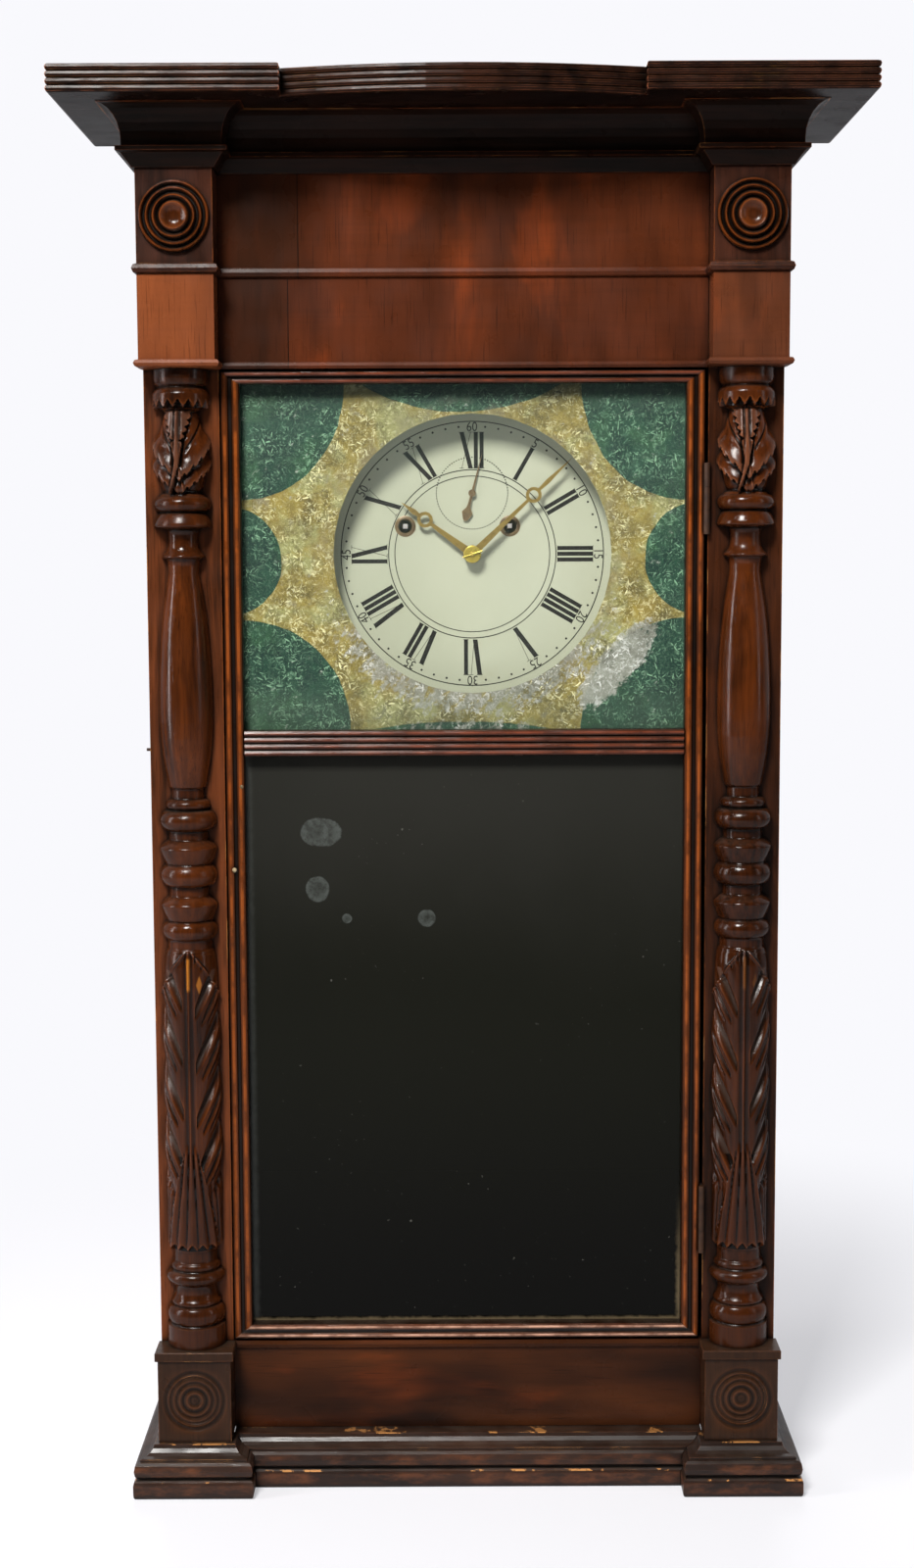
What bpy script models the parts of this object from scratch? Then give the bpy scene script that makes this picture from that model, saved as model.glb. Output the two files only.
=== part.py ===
"""Tall weight-driven shelf clock: carved half columns, a full-length two-light door and an eight-day works.

Metres, +Z up. The clock faces -Y, its feet stand on Z = 0 and X = 0 is the middle of the case.
"""
import math

import bmesh
import bpy
from mathutils import Matrix, Vector

# Clearances
GAP = 0.0003                # between pieces that seat on each other
MITRE_GAP = 0.0002          # each side of a mitred joint, measured along the piece

# Case
CASE_WIDTH = 0.451
CASE_BACK_Y = 0.098
PILASTER_Y = -0.0225        # front face of the boards behind the columns
PILASTER_THICKNESS = 0.018
SIDE_THICKNESS = 0.012
BACK_THICKNESS = 0.010
FLOOR_THICKNESS = 0.012
BLOCK_WIDTH = 0.053
BLOCK_DEPTH = 0.024
FRIEZE_SETBACK = 0.004      # frieze and apron lie this far behind the pilaster boards
FRIEZE_THICKNESS = 0.014
BEAD_PROJECTION = 0.0032

# Heights, stacked from the feet up
FOOT_HEIGHT = 0.0360
BASE_BLOCK_HEIGHT = 0.0607
BASE_CAP_HEIGHT = 0.0073
LOWER_BEAD_HEIGHT = 0.0057
LOWER_BLOCK_HEIGHT = 0.0579
MIDDLE_BEAD_HEIGHT = 0.0072
UPPER_BLOCK_HEIGHT = 0.0641
COVE_HEIGHT = 0.0405
CORNICE_THICKNESS = 0.0185

# Cornice board
CORNICE_WIDTH = 0.553
CORNICE_STEP_X = 0.1215     # half the width of the bowed centre
CORNICE_STEP_DEPTH = 0.018
CORNICE_BOW_RISE = 0.017
BOW_SEGMENTS = 10
REEDS = 4
REED_DEPTH = 0.0018

# Feet and base moulding
CENTRE_BASE_SETBACK = 0.0195  # centre base moulding behind the feet
FOOT_STRIP_WIDTH = 0.0205     # foot under the case side, back to the rear
BASE_CAP_PROJECTION = 0.0019

# Split turnings: (height, radius at the top, widest radius, radius at the bottom, form)
COLUMN_BACK_FLAT = GAP
COLUMN_STEPS = 16
LEAF_SHAFT_LENGTH = 0.2210
BALUSTER_LENGTH = 0.1629
BULB_LENGTH = 0.0608

# Bullseye turnings
ROSETTE_RADIUS = 0.0247
ROSETTE_HEIGHT = 0.0052
ROSETTE_DROP = 0.0327       # rosette centre below the cove moulding
BULLSEYE_RADIUS = 0.0228
BULLSEYE_DEPTH = 0.0022
RING_STEPS = 20

# Door
DOOR_FACE_LIFT = 0.001      # door face in front of the pilaster boards
DOOR_THICKNESS = 0.020
DOOR_LATCH_GAP = 0.0008
DOOR_HINGE_GAP = 0.0022
DOOR_END_GAP = 0.0012
STILE_WIDTH = 0.0134
TOP_RAIL_WIDTH = 0.0088
BOTTOM_RAIL_WIDTH = 0.0108
FRAME_LIP = 0.0040
FRAME_LIP_DEPTH = 0.0100
BEAD_SINK = 0.0024
MIDDLE_RAIL_HEIGHT = 0.0188
TABLET_HEIGHT = 0.2444      # sight height of the upper light
GLASS_THICKNESS = 0.0022
FOIL_THICKNESS = 0.0004
MIRROR_THICKNESS = 0.0025
BACKBOARD_THICKNESS = 0.005
GLASS_PLAY = 0.0005
DIAL_OPENING_RADIUS = 0.0994

# Hinges and catch
KNUCKLE_RADIUS = 0.0022
HINGE_PIN_RADIUS = 0.0009
HINGE_LENGTH = 0.050
HINGE_LEAF_DEPTH = 0.0155
LEAF_THICKNESS = 0.00065
HINGE_INSET = 0.090         # hinge centre from the end of the door
CATCH_HEIGHT = 0.349        # above the bottom of the door
CATCH_INSET = 0.0053        # from the door's latch edge
CATCH_SHAFT_RADIUS = 0.0010
CATCH_BUTTON_RADIUS = 0.0017
CATCH_ARM_LENGTH = 0.0145
CATCH_ARM_WIDTH = 0.0042
CATCH_ARM_THICKNESS = 0.0016

# Dial and hands; the works' centre is a little right of the case's middle
DIAL_X = 0.0058
DIAL_DROP = 0.1296          # dial centre below the underside of the lower bead
DIAL_SETBACK = 0.0335       # dial face behind the pilaster boards
DIAL_THICKNESS = 0.0016
DIAL_WIDTH = 0.300
DIAL_HEIGHT = 0.246
SECONDS_RISE = 0.0438
WINDING_RISE = 0.0202
WINDING_LEFT = 0.0484
WINDING_RIGHT = 0.0272
WINDING_HOLE_RADIUS = 0.0070
CENTRE_HOLE_RADIUS = 0.0056
SECONDS_HOLE_RADIUS = 0.0020
HOLE_SEGMENTS = 16
ROUND_SEGMENTS = 12          # small bars, pins and bores

HAND_THICKNESS = 0.0010
SECONDS_HAND_LIFT = 0.0010  # clear of the dial face
HOUR_HAND_LIFT = 0.0042
MINUTE_HAND_LIFT = 0.0068
MINUTE_LENGTH = 0.1002
MINUTE_RING_AT = 0.0612
HOUR_LENGTH = 0.0640
HOUR_RING_AT = 0.0422
HAND_RING_RADIUS = 0.0058
HAND_RING_BORE = 0.0034
WASHER_RADIUS = 0.0062      # brass collar that pins the minute hand on
SECONDS_LENGTH = 0.0304
SECONDS_TAIL = 0.0206
SECONDS_BOSS_RADIUS = 0.0027
MINUTE_ANGLE = 46.4         # degrees clockwise from twelve, as photographed
HOUR_ANGLE = 306.1
SECONDS_ANGLE = 14.5

# Motion work behind the dial
CANNON_TEETH = 8
MINUTE_WHEEL_TEETH = 24
MINUTE_PINION_TEETH = 8
HOUR_WHEEL_TEETH = 32
MOTION_CENTRES = 0.0150
MOTION_STUD_ANGLE = 250.0   # direction of the minute wheel's stud from the centre, degrees from +X
MINUTE_PIPE_RADIUS = 0.0030
HOUR_PIPE_RADIUS = 0.0045
STUD_RADIUS = 0.0013
RUNNING_GAP = 0.0003
WHEEL_THICKNESS = 0.0015

# Movement
MOVEMENT_SETBACK = 0.0475   # front plate behind the pilaster boards
PLATE_THICKNESS = 0.0025
PLATE_SPACING = 0.036
PLATE_LEFT = 0.0898         # plate edges from the dial centre
PLATE_RIGHT = 0.0732
PLATE_BELOW = 0.0815
PLATE_ABOVE = 0.0925
PILLAR_RADIUS = 0.0040
PILLAR_INSET = 0.0070
CENTRE_ARBOR_RADIUS = 0.0020
ESCAPE_ARBOR_RADIUS = 0.0012
ESCAPE_TEETH = 40
ESCAPE_RADIUS = 0.0170
ESCAPE_TOOTH_DEPTH = 0.0030
VERGE_RISE = 0.0250         # verge above the escape wheel's arbor
PALLET_CLEARANCE = 0.0013
PALLET_ANGLE = 47.0
VERGE_ARBOR_RADIUS = 0.0012

# Winding drums, cords, pulleys and weights
DRUM_RADIUS = 0.0145
DRUM_LENGTH = 0.018
DRUM_FLANGE_RADIUS = 0.0175
GREAT_WHEEL_TEETH = 28
GREAT_WHEEL_RADIUS = 0.0265
WINDING_ARBOR_RADIUS = 0.0030
WINDING_SQUARE = 0.0042
WINDING_TIP_RECESS = 0.0030  # square's tip behind the back of the dial
CORD_RADIUS = 0.0009
PULLEY_GROOVE_RADIUS = 0.0130
PULLEY_RADIUS = 0.0165
PULLEY_THICKNESS = 0.0060
PULLEY_AXLE_RADIUS = 0.0015
PULLEY_DROP = 0.0225        # pulley axle below the pulley board
PULLEY_BOARD_THICKNESS = 0.012
PULLEY_BOARD_DEPTH = 0.034
PULLEY_BOARD_DROP = 0.0145  # below the cornice board
EAR_THICKNESS = 0.0030
EAR_HALF_WIDTH = 0.0060
WEIGHT_WALL_GAP = 0.0175     # weight clear of the case side
WEIGHT_WIDTH = 0.052
WEIGHT_DEPTH = 0.040
WEIGHT_HEIGHT = 0.180
WEIGHT_FLOOR_GAP = 0.012
WEIGHT_EYE_RADIUS = 0.0070
WEIGHT_EYE_RISE = 0.0125     # eye centre above the top of the weight
WEIGHT_EYE_WIRE = 0.0016

# Pendulum
PENDULUM_LENGTH = 0.559     # eighty beats a minute
PENDULUM_SETBACK = 0.0110   # rod behind the back plate
ROD_RADIUS = 0.0016
BOB_RADIUS = 0.038
BOB_THICKNESS = 0.0125
RATING_NUT_RADIUS = 0.0055
CRUTCH_LENGTH = 0.062
SPRING_HALF_THICKNESS = 0.00015
SPRING_SLOT_GAP = 0.00035

# Strike
BELL_LEFT = 0.1178          # bell centre from the dial centre
BELL_DROP = 0.0075
BELL_RADIUS = 0.028
BELL_DEPTH = 0.016
BELL_WALL = 0.0016
HAMMER_LEFT = 0.0798
HAMMER_RISE = 0.0425
HAMMER_HEAD_RADIUS = 0.0055
HAMMER_HEAD_LENGTH = 0.012
HAMMER_REST_GAP = 0.0015
HAMMER_ARBOR_RADIUS = 0.0015

# Values worked out from the sizes above
HALF_WIDTH = CASE_WIDTH / 2
BLOCK_INNER_X = HALF_WIDTH - BLOCK_WIDTH
COLUMN_X = HALF_WIDTH - BLOCK_WIDTH / 2
BLOCK_Y = PILASTER_Y - BLOCK_DEPTH
FRIEZE_Y = PILASTER_Y + FRIEZE_SETBACK
FRIEZE_BACK_Y = FRIEZE_Y + FRIEZE_THICKNESS
CASE_FRONT_Y = PILASTER_Y + PILASTER_THICKNESS + GAP
INNER_X = HALF_WIDTH - SIDE_THICKNESS
BACK_FRONT_Y = CASE_BACK_Y - BACK_THICKNESS
CORNICE_FRONT_Y = -CASE_BACK_Y

COLLECTION_NAME = "shelf_clock"


def turning_elements():
    """The half column's turned elements from the top down."""
    mm = 0.001
    return (
        (12.4 * mm, 19.4 * mm, 19.6 * mm, 16.6 * mm, "swell"),
        (14.8 * mm, 16.4 * mm, 19.6 * mm, 19.2 * mm, "swell"),
        (BULB_LENGTH, 13.3 * mm, 20.7 * mm, 15.2 * mm, "bulb"),
        (10.9 * mm, 16.6 * mm, 20.5 * mm, 16.6 * mm, "round"),
        (11.5 * mm, 14.0 * mm, 17.5 * mm, 20.6 * mm, "flare"),
        (13.0 * mm, 11.6 * mm, 11.3 * mm, 11.6 * mm, "plain"),
        (8.2 * mm, 12.6 * mm, 15.6 * mm, 12.6 * mm, "round"),
        (BALUSTER_LENGTH, 11.4 * mm, 19.1 * mm, 15.1 * mm, "baluster"),
        (8.3 * mm, 11.6 * mm, 11.6 * mm, 11.6 * mm, "plain"),
        (7.7 * mm, 13.2 * mm, 16.2 * mm, 13.2 * mm, "round"),
        (14.7 * mm, 15.6 * mm, 20.6 * mm, 15.6 * mm, "round"),
        (7.0 * mm, 14.1 * mm, 14.1 * mm, 14.1 * mm, "plain"),
        (17.3 * mm, 15.0 * mm, 20.9 * mm, 16.8 * mm, "edge"),
        (15.8 * mm, 16.2 * mm, 20.7 * mm, 16.2 * mm, "round"),
        (7.8 * mm, 14.3 * mm, 14.3 * mm, 14.3 * mm, "plain"),
        (17.3 * mm, 15.0 * mm, 20.6 * mm, 16.6 * mm, "edge"),
        (13.8 * mm, 16.0 * mm, 20.2 * mm, 16.0 * mm, "round"),
        (7.0 * mm, 16.0 * mm, 15.6 * mm, 16.0 * mm, "plain"),
        (LEAF_SHAFT_LENGTH, 17.6 * mm, 20.4 * mm, 20.5 * mm, "leaf"),
        (9.5 * mm, 16.2 * mm, 16.2 * mm, 16.2 * mm, "plain"),
        (6.6 * mm, 16.6 * mm, 18.4 * mm, 16.6 * mm, "round"),
        (9.5 * mm, 18.2 * mm, 21.6 * mm, 18.2 * mm, "round"),
        (11.8 * mm, 17.2 * mm, 15.4 * mm, 17.2 * mm, "cove"),
        (4.7 * mm, 17.0 * mm, 18.4 * mm, 17.0 * mm, "round"),
        (14.4 * mm, 18.2 * mm, 21.3 * mm, 18.2 * mm, "round"),
        (15.8 * mm, 21.3 * mm, 21.3 * mm, 21.3 * mm, "plain"),
    )


# Each form gives (share of the height, share of the way from the end radius to the widest radius)
TURNING_FORMS = {
    "plain": ((0.0, 0.0), (1.0, 0.0)),
    "round": ((0.0, 0.0), (0.14, 0.7), (0.5, 1.0), (0.86, 0.7), (1.0, 0.0)),
    "cove": ((0.0, 0.0), (0.25, 0.75), (0.5, 1.0), (0.75, 0.75), (1.0, 0.0)),
    "swell": ((0.0, 0.0), (0.5, 1.0), (1.0, 0.0)),
    "edge": ((0.0, 0.0), (0.2, 0.75), (0.3, 1.0), (0.5, 0.75), (1.0, 0.0)),
    "flare": ((0.0, 0.0), (0.5, 0.45), (0.85, 0.0), (1.0, 0.0)),
    "bulb": ((0.0, 0.0), (0.2, 0.42), (0.4, 0.85), (0.6, 1.0), (0.8, 0.85), (1.0, 0.0)),
    "baluster": ((0.0, 0.0), (0.18, 0.02), (0.32, 0.38), (0.46, 0.78), (0.6, 0.97), (0.73, 1.0),
                 (0.86, 0.62), (1.0, 0.0)),
    "leaf": ((0.0, 0.0), (0.03, 0.5), (0.12, 0.95), (0.4, 1.0), (0.98, 1.0), (1.0, 0.0)),
}


def column_profile():
    """Radius and depth below the column's top, running down the outer side."""
    points = [(0.0, 0.0)]
    depth = 0.0
    for height, top, widest, bottom, form in turning_elements():
        for share, reach in TURNING_FORMS[form]:
            end = top + (bottom - top) * share
            points.append((end + (widest - end) * reach, -(depth + height * share)))
        depth += height
    points.append((0.0, -depth))
    return points, depth


COLUMN_PROFILE, COLUMN_HEIGHT = column_profile()

# Levels
BASE_CAP_BOTTOM = FOOT_HEIGHT + BASE_BLOCK_HEIGHT
BASE_CAP_TOP = BASE_CAP_BOTTOM + BASE_CAP_HEIGHT
COLUMN_BOTTOM = BASE_CAP_TOP + GAP
COLUMN_TOP = COLUMN_BOTTOM + COLUMN_HEIGHT
LOWER_BEAD_BOTTOM = COLUMN_TOP + GAP
LOWER_BEAD_TOP = LOWER_BEAD_BOTTOM + LOWER_BEAD_HEIGHT
MIDDLE_BEAD_BOTTOM = LOWER_BEAD_TOP + LOWER_BLOCK_HEIGHT
MIDDLE_BEAD_TOP = MIDDLE_BEAD_BOTTOM + MIDDLE_BEAD_HEIGHT
COVE_BOTTOM = MIDDLE_BEAD_TOP + UPPER_BLOCK_HEIGHT
CORNICE_BOTTOM = COVE_BOTTOM + COVE_HEIGHT
CASE_TOP = CORNICE_BOTTOM - GAP
FLOOR_TOP = FOOT_HEIGHT + GAP + FLOOR_THICKNESS

DOOR_FACE_Y = PILASTER_Y - DOOR_FACE_LIFT
DOOR_BACK_Y = DOOR_FACE_Y + DOOR_THICKNESS
DOOR_LEFT = -BLOCK_INNER_X + DOOR_LATCH_GAP
DOOR_RIGHT = BLOCK_INNER_X - DOOR_HINGE_GAP
DOOR_BOTTOM = BASE_CAP_TOP + DOOR_END_GAP
DOOR_TOP = LOWER_BEAD_BOTTOM - DOOR_END_GAP
MIDDLE_RAIL_TOP = DOOR_TOP - TOP_RAIL_WIDTH - TABLET_HEIGHT
MIDDLE_RAIL_BOTTOM = MIDDLE_RAIL_TOP - MIDDLE_RAIL_HEIGHT

DIAL_Z = LOWER_BEAD_BOTTOM - DIAL_DROP
DIAL_Y = PILASTER_Y + DIAL_SETBACK
DIAL_BACK_Y = DIAL_Y + DIAL_THICKNESS
SECONDS_Z = DIAL_Z + SECONDS_RISE
VERGE_Z = SECONDS_Z + VERGE_RISE
WINDING_Z = DIAL_Z + WINDING_RISE
FRONT_PLATE_Y = PILASTER_Y + MOVEMENT_SETBACK
PLATE_INNER_Y = FRONT_PLATE_Y + PLATE_THICKNESS
BACK_PLATE_Y = PLATE_INNER_Y + PLATE_SPACING
BACK_PLATE_END_Y = BACK_PLATE_Y + PLATE_THICKNESS
PENDULUM_Y = BACK_PLATE_END_Y + PENDULUM_SETBACK
CORD_Y = (PLATE_INNER_Y + BACK_PLATE_Y) / 2
PULLEY_CORD_RADIUS = PULLEY_GROOVE_RADIUS + CORD_RADIUS + GAP
DRUM_CORD_RADIUS = DRUM_RADIUS + CORD_RADIUS + GAP
PULLEY_BOARD_TOP = CORNICE_BOTTOM - PULLEY_BOARD_DROP
PULLEY_BOARD_BOTTOM = PULLEY_BOARD_TOP - PULLEY_BOARD_THICKNESS
PULLEY_Z = PULLEY_BOARD_BOTTOM - PULLEY_DROP
WEIGHT_X = INNER_X - WEIGHT_WALL_GAP - WEIGHT_WIDTH / 2
PULLEY_X = WEIGHT_X - PULLEY_CORD_RADIUS
WEIGHT_BOTTOM = FLOOR_TOP + WEIGHT_FLOOR_GAP
WEIGHT_TOP = WEIGHT_BOTTOM + WEIGHT_HEIGHT
WEIGHT_EYE_Z = WEIGHT_TOP + WEIGHT_EYE_RISE
HINGE_X = (DOOR_RIGHT + BLOCK_INNER_X) / 2
HINGE_Y = DOOR_FACE_Y - KNUCKLE_RADIUS - GAP


def clear_scene():
    for existing in list(bpy.data.objects):
        bpy.data.objects.remove(existing, do_unlink=True)


def make_collection(name):
    collection = bpy.data.collections.new(name)
    bpy.context.scene.collection.children.link(collection)
    return collection


def make_material(name, color, roughness, metallic=0.0, transmission=0.0):
    material = bpy.data.materials.new(name)
    material.use_nodes = True
    shader = material.node_tree.nodes["Principled BSDF"]
    shader.inputs["Base Color"].default_value = (*color, 1.0)
    shader.inputs["Roughness"].default_value = roughness
    shader.inputs["Metallic"].default_value = metallic
    shader.inputs["Transmission Weight"].default_value = transmission
    return material


clear_scene()
PARTS = make_collection(COLLECTION_NAME)
CUTTERS = make_collection(COLLECTION_NAME + "_cutters")
MAHOGANY = make_material("mahogany", (0.060, 0.014, 0.008), 0.34)
CROTCH = make_material("figured_mahogany", (0.110, 0.024, 0.010), 0.30)
PINE = make_material("pine", (0.35, 0.20, 0.09), 0.65)
GLASS = make_material("glass", (0.95, 0.97, 0.96), 0.03, transmission=1.0)
FOIL = make_material("foil", (0.45, 0.38, 0.14), 0.35, metallic=0.6)
MIRROR = make_material("mirror", (0.06, 0.06, 0.055), 0.05, metallic=0.9)
DIAL_PAINT = make_material("dial_paint", (0.68, 0.72, 0.60), 0.5)
BRASS = make_material("brass", (0.55, 0.38, 0.12), 0.3, metallic=1.0)
IRON = make_material("iron", (0.06, 0.06, 0.06), 0.6, metallic=0.7)
STEEL = make_material("steel", (0.35, 0.34, 0.33), 0.35, metallic=1.0)
CORD = make_material("cord", (0.45, 0.36, 0.22), 0.9)


def link_object(name, mesh, material, collection=None):
    piece = bpy.data.objects.new(name, mesh)
    (collection or PARTS).objects.link(piece)
    mesh.materials.clear()
    mesh.materials.append(material)
    return piece


def object_from_bmesh(name, bm, material):
    bmesh.ops.remove_doubles(bm, verts=bm.verts, dist=0.000001)
    bmesh.ops.recalc_face_normals(bm, faces=bm.faces)
    mesh = bpy.data.meshes.new(name)
    bm.to_mesh(mesh)
    bm.free()
    return link_object(name, mesh, material)


def bake(source, name, material):
    """Turns an evaluated object into a plain welded mesh in world space and removes the source."""
    bpy.context.view_layer.update()
    evaluated = source.evaluated_get(bpy.context.evaluated_depsgraph_get())
    mesh = bpy.data.meshes.new_from_object(evaluated)
    mesh.transform(source.matrix_world)
    bpy.data.objects.remove(source, do_unlink=True)
    bm = bmesh.new()
    bm.from_mesh(mesh)
    bpy.data.meshes.remove(mesh)
    return object_from_bmesh(name, bm, material)


def smooth(piece, angle=35.0):
    piece.data.shade_smooth()
    piece.data.set_sharp_from_angle(angle=math.radians(angle))
    return piece


def box(name, low, high, material):
    bm = bmesh.new()
    bmesh.ops.create_cube(bm, size=1.0)
    size = Vector(high) - Vector(low)
    middle = (Vector(high) + Vector(low)) / 2
    bmesh.ops.scale(bm, vec=size, verts=bm.verts)
    bmesh.ops.translate(bm, vec=middle, verts=bm.verts)
    return object_from_bmesh(name, bm, material)


def turned(name, profile, place, axis, steps, material):
    """Turns a profile of (radius, height) points round Z, or round an axis that points at the viewer (-Y)."""
    mesh = bpy.data.meshes.new(name + "_profile")
    edges = [(i, i + 1) for i in range(len(profile) - 1)]
    mesh.from_pydata([(radius, 0.0, height) for radius, height in profile], edges, [])
    source = bpy.data.objects.new(name + "_profile", mesh)
    PARTS.objects.link(source)
    source.location = place
    if axis == "Y":
        source.rotation_euler = (math.pi / 2, 0.0, 0.0)
    screw = source.modifiers.new("turn", "SCREW")
    screw.steps = steps
    screw.render_steps = steps
    screw.use_merge_vertices = True
    screw.merge_threshold = 0.00001
    return smooth(bake(source, name, material))


def cylinder(name, radius, start, end, material, segments=ROUND_SEGMENTS):
    """A round bar between two points on a line along Y or Z."""
    start, end = Vector(start), Vector(end)
    along = end - start
    bm = bmesh.new()
    turn = Vector((0, 0, 1)).rotation_difference(along.normalized()).to_matrix().to_4x4()
    bmesh.ops.create_cone(bm, cap_ends=True, segments=segments, radius1=radius, radius2=radius,
                          depth=along.length, matrix=Matrix.Translation((start + end) / 2) @ turn)
    return smooth(object_from_bmesh(name, bm, material))


def circle(centre, radius, segments=HOLE_SEGMENTS):
    turns = [2 * math.pi * i / segments for i in range(segments)]
    return [(centre[0] + radius * math.cos(a), centre[1] + radius * math.sin(a)) for a in turns]


def rectangle(left, right, bottom, top):
    return [(left, bottom), (right, bottom), (right, top), (left, top)]


def plate(name, outlines, front_y, back_y, material):
    """A flat plate facing -Y from closed outlines in X and Z; the outlines after the first are holes."""
    curve = bpy.data.curves.new(name + "_outline", "CURVE")
    curve.dimensions = "2D"
    curve.fill_mode = "BOTH"
    curve.extrude = (back_y - front_y) / 2
    for outline in outlines:
        spline = curve.splines.new("POLY")
        spline.points.add(len(outline) - 1)
        for point, (x, z) in zip(spline.points, outline):
            point.co = (x, z, 0.0, 1.0)
        spline.use_cyclic_u = True
    source = bpy.data.objects.new(name + "_outline", curve)
    PARTS.objects.link(source)
    source.location = (0.0, (front_y + back_y) / 2, 0.0)
    source.rotation_euler = (math.pi / 2, 0.0, 0.0)
    return bake(source, name, material)


def tube(name, points, radius, material, resolution=2, closed=False):
    """A round wire through points, or round them when it is closed."""
    curve = bpy.data.curves.new(name + "_route", "CURVE")
    curve.dimensions = "3D"
    curve.bevel_depth = radius
    curve.bevel_resolution = resolution
    curve.use_fill_caps = True
    spline = curve.splines.new("POLY")
    spline.points.add(len(points) - 1)
    for point, place in zip(spline.points, points):
        point.co = (*place, 1.0)
    spline.use_cyclic_u = closed
    source = bpy.data.objects.new(name + "_route", curve)
    PARTS.objects.link(source)
    return smooth(bake(source, name, material))


def combine(base, tools, operation):
    """Adds a Boolean for each tool, which is kept out of sight in the cutters' collection."""
    for tool in tools:
        PARTS.objects.unlink(tool)
        CUTTERS.objects.link(tool)
        tool.hide_render = True
        tool.display_type = "WIRE"
        step = base.modifiers.new(tool.name, "BOOLEAN")
        step.operation = operation
        step.solver = "EXACT"
        step.object = tool
    return base


def fuse(base, *tools):
    return combine(base, tools, "UNION")


def cut(base, *tools):
    return combine(base, tools, "DIFFERENCE")


def set_origin(piece, point):
    """Puts the object's origin on its joint axis without moving the piece."""
    piece.data.transform(Matrix.Translation(-Vector(point)))
    piece.location = point
    return piece


def loft(name, rings, material):
    """Skins closed rings of as many points each, one after another, and caps the two ends."""
    bm = bmesh.new()
    rows = [[bm.verts.new(point) for point in ring] for ring in rings]
    count = len(rows[0])
    for low, high in zip(rows, rows[1:]):
        for i in range(count):
            bm.faces.new((low[i], low[(i + 1) % count], high[(i + 1) % count], high[i]))
    bm.faces.new(rows[0])
    bm.faces.new(rows[-1])
    return object_from_bmesh(name, bm, material)


def sweep(name, section, stations, material):
    """Runs a section of (u, v) points through stations of (origin, u direction, v direction)."""
    rings = []
    for station in stations:
        origin, u_way, v_way = (Vector(part) for part in station)
        rings.append([origin + u_way * u + v_way * v for u, v in section])
    return loft(name, rings, material)


def stack(name, corners, levels, material):
    """Stacks an outline of (x, y, x way, y way) corners, pushed out along their ways, at each level."""
    rings = [[(x + wx * reach, y + wy * reach, z) for x, y, wx, wy in corners] for reach, z in levels]
    return loft(name, rings, material)


def half_round(start, end, reach, points=4, base=0.0):
    """(reach, z) points of a half-round bead between two heights."""
    middle, half = (start + end) / 2, (end - start) / 2
    turns = [math.pi * (i / points - 0.5) for i in range(points + 1)]
    return [(base + reach * math.cos(a), middle + half * math.sin(a)) for a in turns]


def sides():
    """Name ending and the X direction of each side of the case."""
    return (("left", -1), ("right", 1))


def block_corners(side, back_y):
    """A block's outline, moulded on its inner face, its front and its outer face."""
    inner, outer = side * BLOCK_INNER_X, side * HALF_WIDTH
    return [(inner, back_y, -side, 0), (inner, BLOCK_Y, -side, -1), (outer, BLOCK_Y, side, -1),
            (outer, back_y, side, 0)]


def make_carcase():
    for ending, side in sides():
        across = sorted((side * BLOCK_INNER_X, side * HALF_WIDTH))
        box("pilaster_board_" + ending, (across[0], PILASTER_Y, FOOT_HEIGHT + GAP),
            (across[1], PILASTER_Y + PILASTER_THICKNESS, CASE_TOP), MAHOGANY)
        across = sorted((side * INNER_X, side * HALF_WIDTH))
        box("case_side_" + ending, (across[0], CASE_FRONT_Y, FOOT_HEIGHT + GAP),
            (across[1], CASE_BACK_Y, CASE_TOP), MAHOGANY)
    reach = INNER_X - GAP
    box("back_board", (-reach, BACK_FRONT_Y, FOOT_HEIGHT + GAP), (reach, CASE_BACK_Y, CASE_TOP), PINE)
    box("case_floor", (-reach, CASE_FRONT_Y, FOOT_HEIGHT + GAP), (reach, BACK_FRONT_Y - GAP, FLOOR_TOP), PINE)


def bead_front_board(name, bottom, bead_bottom, bead_top, top, material):
    """A board between the blocks with a half-round bead along its front."""
    bead = half_round(bead_bottom, bead_top, BEAD_PROJECTION)
    section = [(-FRIEZE_THICKNESS, bottom), (0.0, bottom)]
    section += [point for point in bead if bottom < point[1] < top]
    section += [(0.0, top), (-FRIEZE_THICKNESS, top)]
    reach = BLOCK_INNER_X - GAP
    stations = [((x, FRIEZE_Y, 0), (0, -1, 0), (0, 0, 1)) for x in (-reach, reach)]
    return smooth(sweep(name, section, stations, material))


def make_front_boards():
    bead_front_board("frieze_upper", MIDDLE_BEAD_BOTTOM, MIDDLE_BEAD_BOTTOM, MIDDLE_BEAD_TOP,
                     CASE_TOP, CROTCH)
    bead_front_board("frieze_lower", LOWER_BEAD_BOTTOM, LOWER_BEAD_BOTTOM, LOWER_BEAD_TOP,
                     MIDDLE_BEAD_BOTTOM - GAP, CROTCH)
    bead_front_board("apron_panel", FOOT_HEIGHT + GAP, BASE_CAP_BOTTOM, BASE_CAP_TOP, BASE_CAP_TOP, CROTCH)


def make_blocks():
    back = PILASTER_Y - GAP
    for ending, side in sides():
        corners = block_corners(side, back)
        bead = half_round(MIDDLE_BEAD_BOTTOM, MIDDLE_BEAD_TOP, BEAD_PROJECTION)
        smooth(stack("upper_block_" + ending, corners, bead + [(0.0, CASE_TOP)], MAHOGANY))
        bead = half_round(LOWER_BEAD_BOTTOM, LOWER_BEAD_TOP, BEAD_PROJECTION)
        smooth(stack("lower_block_" + ending, corners, bead + [(0.0, MIDDLE_BEAD_BOTTOM - GAP)], CROTCH))
        cap = BASE_CAP_PROJECTION
        levels = [(0.0, FOOT_HEIGHT + GAP), (0.0, BASE_CAP_BOTTOM), (cap, BASE_CAP_BOTTOM + cap / 2),
                  (cap, BASE_CAP_TOP)]
        block = stack("base_block_" + ending, corners, levels, MAHOGANY)
        make_rosette(ending, side)
        carve_bullseye(block, ending, side)


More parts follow.
